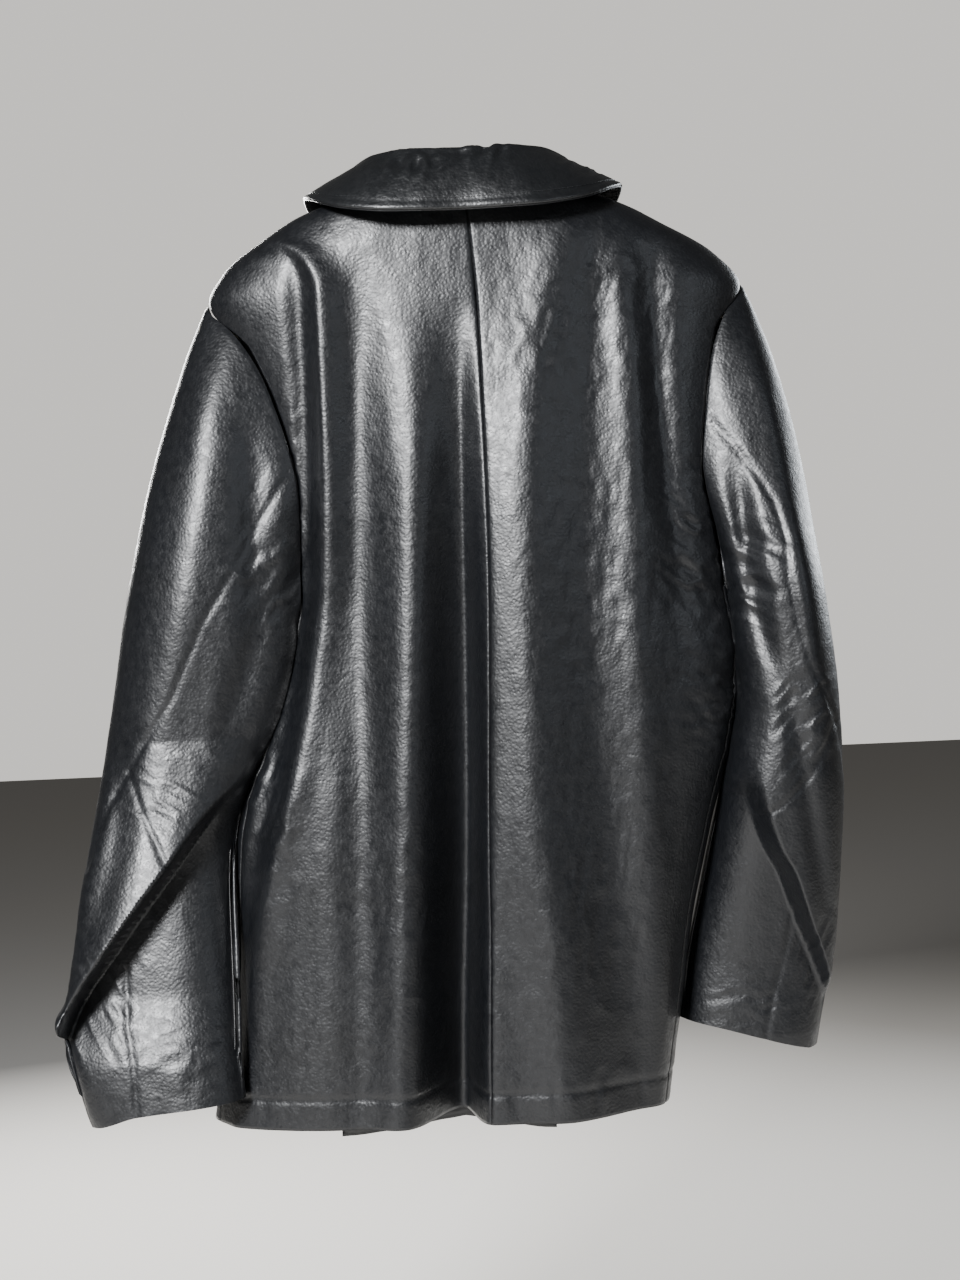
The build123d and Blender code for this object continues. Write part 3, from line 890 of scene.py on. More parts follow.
@dataclass
class Front:
    """One front: leather from the shoulder to the hem, facing, lining, lapel, pocket, buttons."""

    side: Side
    break_z: float = -380.0
    break_height: float = 40.0
    side_angle: float = 25.0
    facing: float = 45.0
    drop: float = 18.0
    underlap: float = 11.0
    corner: float = 26.0
    pocket_z: float = -590.0
    pocket_angle: float = 46.0
    pocket_half: float = 15.0
    welt: float = 9.0
    flap: float = 55.0
    button_levels: tuple[float, ...] = (-395.0, -485.0, -575.0)
    button_radius: float = 10.5
    bend_from: float = -60.0
    bend_to: float = -330.0

    def __post_init__(self) -> None:
        """Works out which way this front turns and where its edge runs."""
        self.turn = self.side.value
        self.outer = self.side is Side.LEFT
        self.edge = 64.0 if self.outer else 113.0
        self.button_angle = 112.0 if self.outer else 74.0
        self.body = f"front_{self.side.word}"

    def seam(self, z: Array) -> Array:
        """Angle of the armhole and, below it, of the side seam.

        Args:
            z: heights.

        Returns:
            The angles.
        """
        angle = np.where(
            z > ARMPIT_Z, np.maximum(Curve(ARMHOLE_FRONT)(z), 0), self.side_angle
        ) + 0.5
        angle = np.where(z > -205, angle, np.maximum(angle, self.side_angle + 0.5))
        return angle if self.turn > 0 else 180 - angle

    def roll(self, z: Array) -> Array:
        """Angle of the lapel's roll line."""
        x = BODY.cx(z) + self.turn * np.interp(z, *zip(*reversed(ROLL_LINE)))
        return BODY.angle_at(x, z, front=True)

    def free_edge(self, z: Array) -> Array:
        """Angle of the roll line and, below its break, of the front edge."""
        share = smoothstep((z - self.break_z) / self.break_height)
        rolled = self.roll(np.maximum(z, self.break_z))
        return self.edge + (rolled - self.edge) * share

    def tuck(self, angle: Array) -> Array:
        """How far this front sinks behind the other."""
        if self.outer:
            return 0 * angle
        return self.underlap * smoothstep((angle - 34) / 22)

    def flare(self, angle: Array, z: Array) -> Array:
        """Depth of the front's leather, its hem edge rolled in a little."""
        return self.tuck(angle) + 0.8 * bell((z - HEM_Z) / 2.4)

    def hang(self, angle: Array, z: Array) -> Array:
        """How much lower the leather hangs towards its free corner.

        Args:
            angle: angles round the body.
            z: heights.

        Returns:
            The drop, below 0.
        """
        away = (angle - self.side_angle) if self.turn > 0 else (180 - self.side_angle - angle)
        near = smoothstep(1 - np.abs(angle - self.edge) / 50)
        slope = self.drop * smoothstep(away / 50) + self.corner * near
        return -slope * smoothstep((-520 - z) / (-520 - HEM_Z))

    def bend(self, piece: bpy.types.Object, finish: Finish, *nodes: str) -> None:
        """Dresses a piece that starts at the shoulder, hides the nodes it replaces and bakes its
        placement into its mesh.

        Args:
            piece: the finished mesh.
            finish: its finish.
            *nodes: the nodes that it replaces.
        """
        dress(piece, finish)
        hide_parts(*nodes)
        x = BODY.cx(np.array(self.bend_from)).item()
        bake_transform(piece)
        report(piece)

    def ordered(self, first: Callable, last: Callable) -> tuple[Callable, Callable]:
        """Puts two edges in rising order of angle."""
        return (first, last) if self.turn > 0 else (last, first)

    def build(self) -> None:
        """Makes and dresses every piece of this front."""
        self.make_leather()
        self.make_inside()
        self.make_lapel()
        self.make_pocket()
        self.make_buttons()

    def make_leather(self) -> None:
        """Makes the outer leather."""
        start, end = self.ordered(self.seam, self.free_edge)
        piece = Panel(f"front_{self.side.word}_leather", start, end, -1, HEM_Z, self.flare,
                      self.hang).build()
        self.bend(piece, Finish.LEATHER, f"front_shoulder_{self.side.word}",
                  f"front_panel_{self.side.word}")

    def make_inside(self) -> None:
        """Makes the leather facing and the lining behind the front."""
        def back_off(angle: float) -> Callable[[Array], Array]:
            """A line that far behind the free edge."""
            return lambda z: self.free_edge(z) - self.turn * angle

        start, end = self.ordered(back_off(self.facing), back_off(0.8))
        piece = Panel(
            f"front_{self.side.word}_facing", start, end, -206, HEM_Z + 2,
            lambda angle, z: self.tuck(angle) + 2.6, self.hang, 0.9, 4.0, creased=False,
        ).build()
        self.bend(piece, Finish.LEATHER, f"front_facing_{self.side.word}")
        start, end = self.ordered(
            lambda z: self.seam(z) + self.turn * 4.0, back_off(self.facing - 3)
        )
        piece = Panel(
            f"front_{self.side.word}_lining", start, end, -208, HEM_Z + 18,
            lambda angle, z: self.tuck(angle) + 6.7 + 0.5 * noise(angle / 5, z / 60, 43),
            thickness=0.5, spacing=5.0, creased=False,
        ).build()
        self.bend(piece, Finish.LINING, f"front_lining_{self.side.word}")

    def make_lapel(self) -> None:
        """Makes the peaked lapel, folded back along the roll line and rolled at its edge."""
        rows, columns = 150, 34
        v = np.linspace(0, 1, rows)[:, None]
        u = np.linspace(0, 1, columns)[None, :]
        width = Curve([(-62, 34), (-88, 62), (-116, 66), (-205, 52), (-300, 30), (-376, 3)])
        foot = self.break_z + 4
        top = -58 - 30 * u
        z = top + (foot - top) * v
        reach = width(z) * u
        angle_roll = self.roll(z)
        x = BODY.outline(angle_roll, z)[0] + self.turn * reach
        angle = BODY.angle_at(x, z, front=True)
        lift = 2.3 + 5.0 * np.sin(math.pi * np.clip(u * 1.05, 0, 1)) ** 0.8 * (0.4 + 0.6 * (1 - v))
        lift = lift * smoothstep(u / 0.06 + 0.25) + 0.7 * noise(reach / 22, z / 60, 45)
        edge = np.minimum(u, np.minimum(1 - u, v * 8))
        lift = lift - 0.8 * bell(edge / 0.03)
        grid = BODY.surface(angle, z, self.tuck(angle) - lift)
        piece = shell(f"lapel_{self.side.word}_leather", grid, 1.4, outwards=self.turn)
        self.bend(piece, Finish.LEATHER, f"lapel_{self.side.word}",
                  f"lapel_top_{self.side.word}")

    def make_pocket(self) -> None:
        """Makes the welt, the flap with its rounded corners and the pocket bag."""
        centre = self.pocket_angle if self.turn > 0 else 180 - self.pocket_angle
        half = self.pocket_half
        word = self.side.word
        foot = self.pocket_z - self.welt - self.flap + 10
        welt = Panel(
            f"pocket_welt_{word}_leather", lambda z: centre - half + 0 * z,
            lambda z: centre + half + 0 * z, self.pocket_z, self.pocket_z - self.welt,
            lambda angle, z: self.tuck(angle) - 1.9 - 0.9 * np.sin(
                math.pi * np.clip((self.pocket_z - z) / self.welt, 0, 1)) ** 0.5,
            thickness=1.0, spacing=1.2,
        ).build()
        settle(welt, Finish.LEATHER, self.body, f"pocket_welt_{word}")
        head = self.pocket_z - self.welt - 1

        def corner(z: Array) -> Array:
            """How far the flap's rounded corner draws in at a height."""
            rise = np.clip((foot + 14 - z) / 14, 0, 1)
            return 5.0 * (1 - np.sqrt(np.maximum(1 - rise ** 2, 0)))

        flap = Panel(
            f"pocket_flap_{word}_leather", lambda z: centre - half + 0.5 + corner(z),
            lambda z: centre + half - 0.5 - corner(z), head, foot,
            lambda angle, z: self.tuck(angle) - 1.9 - 0.8 * bell((z - foot - 6) / 3)
            + 0.8 * bell((z - foot) / 2), thickness=1.3, spacing=1.8,
        ).build()
        settle(flap, Finish.LEATHER, f"flap_{word}", f"pocket_flap_{word}")
        bag = Panel(
            f"pocket_bag_{word}_cloth", lambda z: centre - half + 2 + 0 * z,
            lambda z: centre + half - 2 + 0 * z, self.pocket_z - 4, self.pocket_z - 140,
            lambda angle, z: self.tuck(angle) + 4.4 + 0.3 * noise(angle / 4, z / 20, 47),
            thickness=0.9, spacing=4.0, creased=False,
        ).build()
        settle(bag, Finish.LINING, self.body, f"pocket_bag_{word}")

    def make_buttons(self) -> None:
        """Makes the column of four-holed buttons."""
        points, faces = [], []
        turns = 64
        phi = np.linspace(0, 2 * math.pi, turns, endpoint=False)
        for level in self.button_levels:
            angle = np.array(self.button_angle)
            z = np.array(level)
            base = self.tuck(angle)
            seat = BODY.inset(angle, z, base - 1.2)
            back = BODY.inset(angle, z, base + 4.0)
            out = (seat - back) / np.linalg.norm(seat - back)
            across = np.cross([0, 0, 1.0], out)
            across /= np.linalg.norm(across)
            up = np.cross(out, across)
            share = np.linspace(0, 1, 30)
            radius = self.button_radius * share
            r, p = np.meshgrid(radius, phi, indexing="ij")
            height = 2.0 + 1.3 * smoothstep((r - 6.6) / 1.4) - 1.6 * smoothstep((r - 9.4) / 1.1)
            for k in range(4):
                hole = math.pi / 4 + k * math.pi / 2
                away = np.hypot(r * np.cos(p) - 2.4 * math.cos(hole),
                                r * np.sin(p) - 2.4 * math.sin(hole))
                height = height - 1.5 * (1 - smoothstep((away - 0.7) / 0.4))
            front = seat + (r * np.cos(p))[..., None] * across + (r * np.sin(p))[..., None] * up
            front = front + height[..., None] * out
            rim = front[-1:] - out * (height[-1:, :, None] - 0.3)
            flat = seat + (front - seat - height[..., None] * out)[::-1] + out * 0.3
            grid = np.concatenate([front, rim, flat[::10]])
            offset = sum(len(p) for p in points)
            n = np.arange(grid.shape[0] * turns).reshape(grid.shape[0], turns) + offset
            n = np.concatenate([n, n[:, :1]], axis=1)
            points.append(grid.reshape(-1, 3))
            faces.append(quads(n))
        faces_all = np.vstack(faces)
        piece = make_object(f"buttons_{self.side.word}_horn", np.vstack(points), faces_all,
                            len(faces_all))
        settle(piece, Finish.BUTTON, self.body, f"buttons_{self.side.word}")


# ---- collar -----------------------------------------------------------------------------------
@dataclass
class Collar:
    """The turned-down collar: stand, roll and leaf in one piece, its under collar and loop."""

    fold: Sequence[tuple[float, float, float]] = (
        (0, -72, 26), (26, -71, 27), (50, -65, 28), (74, -50, 27), (91, -26, 21), (95, 0, 13),
        (88, 28, 3), (78, 48, -14), (70, 59, -36), (64, 64, -60),
    )
    edge: Sequence[tuple[float, float, float]] = (
        (0, -92, -27), (36, -95, -27), (70, -92, -25), (104, -76, -17), (128, -46, -4),
        (136, -10, 2), (131, 28, -8), (118, 56, -28), (108, 69, -52), (100, 74, -76),
    )
    foot: Sequence[tuple[float, float, float]] = (
        (0, -62, -4), (24, -61, -4), (46, -55, -4), (66, -42, -4), (80, -24, -5), (84, -2, -7),
        (80, 22, -12), (72, 43, -24), (66, 55, -42), (61, 60, -64),
    )
    crumples: Sequence[Crumple] = (
        Crumple(-40, 14, 26, 12, 1.5, 7, 70, 52),
        Crumple(22, 22, 26, 10, 1.8, 7, 60, 53),
        Crumple(96, 10, 22, 12, 0.9, 6, 40, 54),
    )
    left_share: float = 0.95
    columns: int = 260
    stitch_in: float = 7.0

    def curve(self, points: Sequence[tuple[float, float, float]]) -> Array:
        """One line of the collar from its left end round the back to its right end."""
        right = np.array(points, float)
        left = right[:0:-1] * [-self.left_share, 1, 1]
        return through(np.vstack([left, right]), self.columns)

    def section(self, out: float = 0.0) -> Array:
        """Grid of the collar's face from inside the neck, over the roll, down to the edge.

        Args:
            out: how far outside the fold line and the leaf the face lies.

        Returns:
            The grid, a row for each line along the collar.
        """
        foot, fold, edge = self.curve(self.foot), self.curve(self.fold), self.curve(self.edge)
        down = (edge - fold) / np.linalg.norm(edge - fold, axis=1, keepdims=True)
        inner = (foot - fold) / np.linalg.norm(foot - fold, axis=1, keepdims=True)
        out_leaf = np.cross(down, np.gradient(fold, axis=0))
        out_leaf /= np.linalg.norm(out_leaf, axis=1, keepdims=True)
        crest = -(down + inner)
        crest /= np.maximum(np.linalg.norm(crest, axis=1, keepdims=True), 1e-6)
        rows = []
        for t in np.linspace(0, 1, 14, endpoint=False):
            rows.append(foot + (fold + inner * 5 - foot) * t)
        for t in np.linspace(0, 1, 8, endpoint=False):
            a, b = fold + inner * 5, fold + down * 5 + out_leaf * out
            mid = fold + crest * (3.5 + out)
            rows.append(a * (1 - t) ** 2 + 2 * mid * t * (1 - t) + b * t ** 2)
        start, end = fold + down * 5 + out_leaf * out, edge + out_leaf * out
        for t in np.linspace(0, 1, 30):
            rows.append(start + (end - start) * t + out_leaf * 3.2 * math.sin(math.pi * t) ** 0.9)
        return np.stack(rows)

    def creased(self, grid: Array) -> Array:
        """The collar's face with its creases, its stitched groove and its soft edge.

        Args:
            grid: the plain face.

        Returns:
            The shaped face.
        """
        x = grid[..., 0] + 0.6 * grid[..., 1]
        slope = grid[..., 2]
        rise = 0.5 * suppleness(x * 1.2, slope * 1.4, 51)
        back = smoothstep(-grid[..., 1] / 40)
        for patch in self.crumples:
            rise = rise + back * patch.rise(grid[..., 0], slope)
        edge = np.linalg.norm(grid - grid[-1:], axis=2)
        leaf = np.arange(grid.shape[0])[:, None] > 20
        rise = rise - leaf * 0.55 * bell((edge - self.stitch_in) / 1.6)
        rise = rise - leaf * 0.9 * bell(edge / 1.6)
        return grid + normals_of(grid) * rise[..., None]

    def build(self) -> None:
        """Makes and dresses the collar's pieces and the hanging loop."""
        upper = self.creased(self.section(2.4))
        piece = shell("upper_collar_leather", upper, 1.3)
        settle(piece, Finish.COLLAR, "root", "upper_collar", "collar_stand")
        row = upper[-6] + normals_of(upper)[-6] * 0.25
        stitches = Stitching().sew("collar_stitches", [row[4:-4]])
        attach(stitches, "root")
        report(stitches)
        under = self.section(0.4)[23:]
        piece = shell("under_collar_leather", under, 1.0)
        settle(piece, Finish.LEATHER, "root", "under_collar")
        self.make_loop()

    def make_loop(self, half: float = 30.0, drop: float = 14.0) -> None:
        """Makes the hanging loop: a rolled leather strip sewn down at both ends.

        Args:
            half: half the distance between its ends.
            drop: how far its middle hangs below them.
        """
        y, z, thick, steps, sides = -59.8, -10.0, 1.25, 60, 14
        line = through([(-half, y, z), (-half * 0.6, y, z - drop * 0.7), (0, y, z - drop),
                        (half * 0.6, y, z - drop * 0.7), (half, y, z)], steps)
        tangent = np.gradient(line, axis=0)
        tangent /= np.linalg.norm(tangent, axis=1, keepdims=True)
        side = np.array([0.0, 1.0, 0.0])
        up = np.cross(tangent, side)
        phi = np.linspace(0, 2 * math.pi, sides, endpoint=False)
        radius = np.full(steps, thick)
        radius[[0, -1]] = 0.05
        grid = line[:, None] + radius[:, None, None] * (
            np.cos(phi)[None, :, None] * side + np.sin(phi)[None, :, None] * up[:, None]
        )
        n = np.arange(steps * sides).reshape(steps, sides)
        n = np.concatenate([n, n[:, :1]], axis=1)
        faces = quads(n.T)
        piece = make_object("hanging_loop_leather", grid.reshape(-1, 3), faces, len(faces))
        settle(piece, Finish.LEATHER, "loop", "hanger_loop")


# ---- stitches ---------------------------------------------------------------------------------
@dataclass
class Stitching:
    """Rows of topstitches, laid along lines by one Geometry Nodes tree."""

    pitch: float = 4.4
    length: float = 3.3
    radius: float = 0.34
    sides: int = 6

    def tree(self) -> bpy.types.NodeTree:
        """Builds the tree that puts a short thread at every step of the lines.

        Returns:
            The node group, with its sizes as named inputs.
        """
        group = bpy.data.node_groups.new("topstitch_rows", "GeometryNodeTree")
        face = group.interface
        face.new_socket("Lines", in_out="INPUT", socket_type="NodeSocketGeometry")
        for name in ("Pitch", "Stitch length", "Thread radius"):
            face.new_socket(name, in_out="INPUT", socket_type="NodeSocketFloat")
        face.new_socket("Thread", in_out="INPUT", socket_type="NodeSocketMaterial")
        face.new_socket("Stitches", in_out="OUTPUT", socket_type="NodeSocketGeometry")
        given = add_node(group, "NodeGroupInput").outputs
        curve = add_node(group, "GeometryNodeMeshToCurve", {"Mesh": given["Lines"]})
        steps = add_node(
            group, "GeometryNodeResampleCurve",
            {"Curve": curve.outputs["Curve"], "Length": given["Pitch"]}, mode="LENGTH",
        )
        tangent = add_node(group, "GeometryNodeInputTangent")
        turn = add_node(
            group, "FunctionNodeAlignRotationToVector", {"Vector": tangent.outputs["Tangent"]},
            axis="Z",
        )
        thread = add_node(
            group, "GeometryNodeMeshCylinder",
            {"Radius": given["Thread radius"], "Depth": given["Stitch length"]},
            {"Vertices": self.sides},
        )
        laid = add_node(
            group, "GeometryNodeInstanceOnPoints",
            {"Points": steps.outputs["Curve"], "Instance": thread.outputs["Mesh"],
             "Rotation": turn.outputs["Rotation"]},
        )
        real = add_node(group, "GeometryNodeRealizeInstances", {0: laid.outputs["Instances"]})
        dyed = add_node(
            group, "GeometryNodeSetMaterial",
            {"Geometry": real.outputs["Geometry"], "Material": given["Thread"]},
        )
        output = add_node(group, "NodeGroupOutput")
        group.links.new(dyed.outputs["Geometry"], output.inputs["Stitches"])
        return group

    def sew(self, name: str, lines: Sequence[Array]) -> bpy.types.Object:
        """Turns lines of points in millimetres into one mesh of stitches.

        Args:
            name: the piece's name.
            lines: each line's points.

        Returns:
            The plain mesh of the stitches, not yet riding on anything.
        """
        if Finish.THREAD not in MATERIALS:
            MATERIALS[Finish.THREAD] = Finish.THREAD.value[0].make()
        points, edges = [], []
        for line in lines:
            first = len(points)
            points += [tuple(float(v) * MM for v in point) for point in line]
            edges += [(k, k + 1) for k in range(first, len(points) - 1)]
        mesh = bpy.data.meshes.new(name)
        mesh.from_pydata(points, edges, [])
        base = bpy.data.objects.new(name + "_lines", mesh)
        bpy.context.scene.collection.objects.link(base)
        rows = base.modifiers.new("rows", "NODES")
        rows.node_group = bpy.data.node_groups.get("topstitch_rows") or self.tree()
        sizes = {"Pitch": self.pitch * MM, "Stitch length": self.length * MM,
                 "Thread radius": self.radius * MM, "Thread": MATERIALS[Finish.THREAD]}
        for item in rows.node_group.interface.items_tree:
            if item.in_out == "INPUT" and item.name in sizes:
                rows[item.identifier] = sizes[item.name]
        evaluated = base.evaluated_get(bpy.context.evaluated_depsgraph_get())
        sewn = bpy.data.meshes.new_from_object(evaluated)
        piece = bpy.data.objects.new(name, sewn)
        bpy.context.scene.collection.objects.link(piece)
        bpy.data.objects.remove(base)
        return piece


# ---- sleeves ----------------------------------------------------------------------------------
@dataclass
class Sleeve:
    """A sleeve set into the armhole, folded at the armpit and at the elbow.

    Down to ring_z it is drawn from the armhole's loop to a ring; below, it is a tube whose rear
    is stepped along a diagonal where the upper layer overhangs the turned-back forearm.
    """

    side: Side
    centre_x: Table
    centre_y: Table
    half_width: Table
    half_depth: Table
    overhang: Table
    recess: Table
    diagonal: Table
    cuff: Table
    seams: Sequence[Path]
    folds: Sequence[Fold]
    crumples: Sequence[Crumple]
    raise_bend: tuple[float, float] = (-280.0, -420.0)
    split_z: float = -425.0
    elbow_bend: tuple[float, float] = (-430.0, -550.0)
    ring_z: float = -352.0
    spacing: float = 2.1
    leather: float = 1.4
    step: float = 8.0

    def __post_init__(self) -> None:
        """Turns the tables into curves."""
        self.cx, self.cy = Curve(self.centre_x), Curve(self.centre_y)
        self.a, self.b = Curve(self.half_width), Curve(self.half_depth)
        self.sign = self.side.value
        self.word = self.side.word

    def armhole(self, count: int) -> Array:
        """The armhole's loop, from under the arm up the back, over the shoulder and down.

        Args:
            count: number of points.

        Returns:
            The loop.
        """
        mid = 180.0 if self.sign < 0 else 0.0
        points = []
        for z in (-334, -300, -262, -225, -176, -138, -108, -88):
            points.append(BODY.inset(self.toward_back(Curve(ARMHOLE_BACK)(z), mid),
                                     np.array(float(z)), -1.0))
        points.append(BODY.inset(np.array(mid), np.array(-79.0), -1.5))
        for z in (-88, -108, -138, -176, -225, -262, -300, -334):
            points.append(BODY.inset(self.toward_front(Curve(ARMHOLE_FRONT)(z), mid),
                                     np.array(float(z)), -1.0))
        low = BODY.inset(np.array(mid), np.array(-340.0), -1.0)
        return through([low] + [np.asarray(p) for p in points], count, closed=True)

    def toward_back(self, angle: Array, mid: float) -> Array:
        """Body angle that far behind the side's middle."""
        return mid - self.sign * angle

    def toward_front(self, angle: Array, mid: float) -> Array:
        """Body angle that far in front of the side's middle."""
        return mid + self.sign * angle

    def ring(self, z: Array, count: int, inset: float = 0.0) -> Array:
        """Rings of the tube at heights z, from the inner side round the back to the front.

        Args:
            z: the heights, one for each ring.
            count: points on each ring.
            inset: how far inside the leather's face the ring lies.

        Returns:
            Rings, points and coordinates.
        """
        fine = np.radians(180 + np.linspace(0, 360, 361))[None, :]
        z = np.asarray(z, float)[:, None]
        x = self.cx(z) + self.sign * (self.a(z) - inset) * fuller(np.cos(fine))
        y = self.cy(z) + (self.b(z) - inset) * fuller(np.sin(fine))
        run = np.concatenate(
            [np.zeros((len(z), 1)),
             np.cumsum(np.hypot(np.diff(x, axis=1), np.diff(y, axis=1)), axis=1)], axis=1)
        run /= run[:, -1:]
        want = np.linspace(0, 1, count, endpoint=False)
        return np.stack([
            np.stack([np.interp(want, run[k], x[k]), np.interp(want, run[k], y[k]),
                      np.full(count, z[k, 0])], axis=1)
            for k in range(len(z))
        ])

    def cuffed(self, grid: Array, top: float) -> Array:
        """Stretches the heights so that the last ring lies on the slanted cuff line.

        Args:
            grid: rings down to the cuff.
            top: where the stretching starts.

        Returns:
            The stretched rings.
        """
        cuff = Curve(self.cuff)
        low = grid[-1, 0, 2]
        share = smoothstep((top - grid[..., 2]) / (top - low))
        out = grid.copy()
        out[..., 2] += share * (cuff(grid[..., 0]) - low)
        return out

    def shaped(self, grid: Array, detail: float = 1.0) -> Array:
        """Adds the overhang, the diagonal step, the seams, the folds and the creases.

        Args:
            grid: plain points of the tube.
            detail: how much of the small creasing to add.

        Returns:
            The shaped points.
        """
        x, y, z = grid[..., 0], grid[..., 1], grid[..., 2]
        rear = smoothstep((self.cy(z) - y) / (0.45 * self.b(z)))
        inboard = -self.sign * (x - Curve(self.diagonal)(z))
        step = smoothstep((inboard + self.step / 2) / self.step)
        span = smoothstep((-484 - z) / 24)
        push = Curve(self.recess)(z) * step * span - Curve(self.overhang)(z) * (1 - step)
        sink = sum(fold.sink(x, z) for fold in self.folds)
        out = grid.copy()
        out[..., 1] = y + rear * (push + sink)
        normal = normals_of(out, closed=True)
        facing = np.sign(((normal * (out - np.stack(
            [self.cx(z), self.cy(z), z], axis=-1))).sum(axis=-1)).mean())
        around = np.where(rear > 0.02, x, x + 700)
        rise = detail * 0.7 * suppleness(around, z, 61 + self.sign)
        rise = rise + rear * sum(patch.rise(x, z) for patch in self.crumples)
        for seam in self.seams:
            rise = rise - rear * 1.0 * bell(distance_to(x, z, seam) / 2.8)
        return out + normal * facing * rise[..., None]

    def upper_grid(self, inset: float = 0.0, spacing: Optional[float] = None) -> Array:
        """Grid from the armhole to the split above the elbow.

        Args:
            inset: how far inside the leather's face the grid lies.
            spacing: distance between points, if not the leather's.

        Returns:
            The grid.
        """
        pitch = spacing or self.spacing
        count = round(400 / pitch)
        loop = self.armhole(count)
        ring = self.ring(np.array([self.ring_z]), count, inset)[0]
        below = self.ring(np.array([self.ring_z - 6.0]), count, inset)[0]
        if inset:
            middle = loop.mean(axis=0)
            pull = (middle - loop) * [0, 1, 1]
            loop = loop + inset * pull / np.linalg.norm(pull, axis=1, keepdims=True)
        length = np.linalg.norm(ring - loop, axis=1, keepdims=True)
        height = (loop[:, 2] - loop[:, 2].min()) / np.ptp(loop[:, 2])
        lean = np.stack([self.sign * (0.2 + 0.22 * height),
                         0.30 * np.tanh(loop[:, 1] / 26) * smoothstep(height * 3),
                         -0.93 + 0 * height], axis=1)
        start = length * lean
        end = (below - ring) / 6.0 * length
        t = np.linspace(0, 1, round(290 / pitch))[:, None, None]
        patch = (loop * (1 + 2 * t) * (1 - t) ** 2 + ring * t * t * (3 - 2 * t)
                 + start * t * (1 - t) ** 2 - end * t * t * (1 - t))
        heights = np.arange(self.ring_z - pitch, self.split_z, -pitch)
        tube = self.ring(np.append(heights, self.split_z), count, inset)
        return np.concatenate([patch, tube])

    def lower_grid(self, inset: float = 0.0, spacing: Optional[float] = None,
                   rise: float = 0.0) -> Array:
        """Grid from the split above the elbow to the cuff.

        Args:
            inset: how far inside the leather's face the grid lies.
            spacing: distance between points, if not the leather's.
            rise: how far above the cuff it ends.

        Returns:
            The grid.
        """
        pitch = spacing or self.spacing
        count = round(400 / pitch)
        foot = min(row[0] for row in self.centre_x) + rise
        heights = np.linspace(self.split_z, foot, round((self.split_z - foot) / pitch))
        grid = self.ring(heights, count, inset)
        return grid if rise else self.cuffed(grid, -600.0)

    def bend(self, piece: bpy.types.Object, upper: bool) -> None:
        """Bakes the placement of a piece of the sleeve into its mesh and logs it.

        Args:
            piece: the mesh.
            upper: whether it starts at the armhole.
        """
        high, low = self.raise_bend if upper else self.elbow_bend
        x = self.cx(np.array(high)).item()
        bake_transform(piece)
        report(piece)

    def build(self) -> None:
        """Makes and dresses the leather, the lining and the cuff facing."""
        word = self.word
        for inset, pitch, detail, thick in ((0.0, self.spacing, 1.0, self.leather),
                                            (3.6, 5.0, 0.4, 0.5)):
            leather = inset == 0.0
            above = self.upper_grid(inset, pitch)
            below = self.lower_grid(inset, pitch, rise=0.0 if leather else 22.0)
            grid = self.shaped(np.concatenate([above, below[1:]]), detail)
            if leather:
                edge = np.arange(grid.shape[0])[:, None] * pitch
                sunk = 1.2 * bell(edge / 2.6) * self.facing()
                grid = grid - normals_of(grid, True) * sunk[..., None]
            normals = normals_of(grid, True)
            split = above.shape[0] - 1
            for part, rows in (("upper", slice(0, split + 1)), ("lower", slice(split, None))):
                upper = part == "upper"
                kind = "leather" if leather else "satin"
                layer = "" if leather else "lining_"
                piece = shell(f"sleeve_{layer}{part}_{word}_{kind}", grid[rows], thick,
                              outwards=self.facing(), closed=True, normals=normals[rows])
                dress(piece, Finish.LEATHER if leather else Finish.LINING)
                if leather:
                    names = [f"sleeve_top_{part}_{word}", f"sleeve_under_{part}_{word}"]
                    names += [f"sleeve_cap_{word}"] * upper
                else:
                    names = [f"sleeve_lining_{part}_{word}"]
                    names += [f"sleeve_cap_lining_{word}"] * upper
                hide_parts(*names)
                self.bend(piece, upper)
        self.make_cuff_facing()

    def facing(self) -> int:
        """Whether (down x along) points out of the sleeve."""
        return 1 if self.sign > 0 else -1

    def make_cuff_facing(self) -> None:
        """Makes the leather turned up inside the cuff."""
        grid = self.shaped(self.lower_grid(2.2, 3.0), 0.4)[-13:-1]
        piece = shell(f"cuff_facing_{self.word}_leather", grid, 0.8, outwards=self.facing(),
                      closed=True)
        settle(piece, Finish.LEATHER, f"forearm_{self.word}", f"cuff_facing_{self.word}")


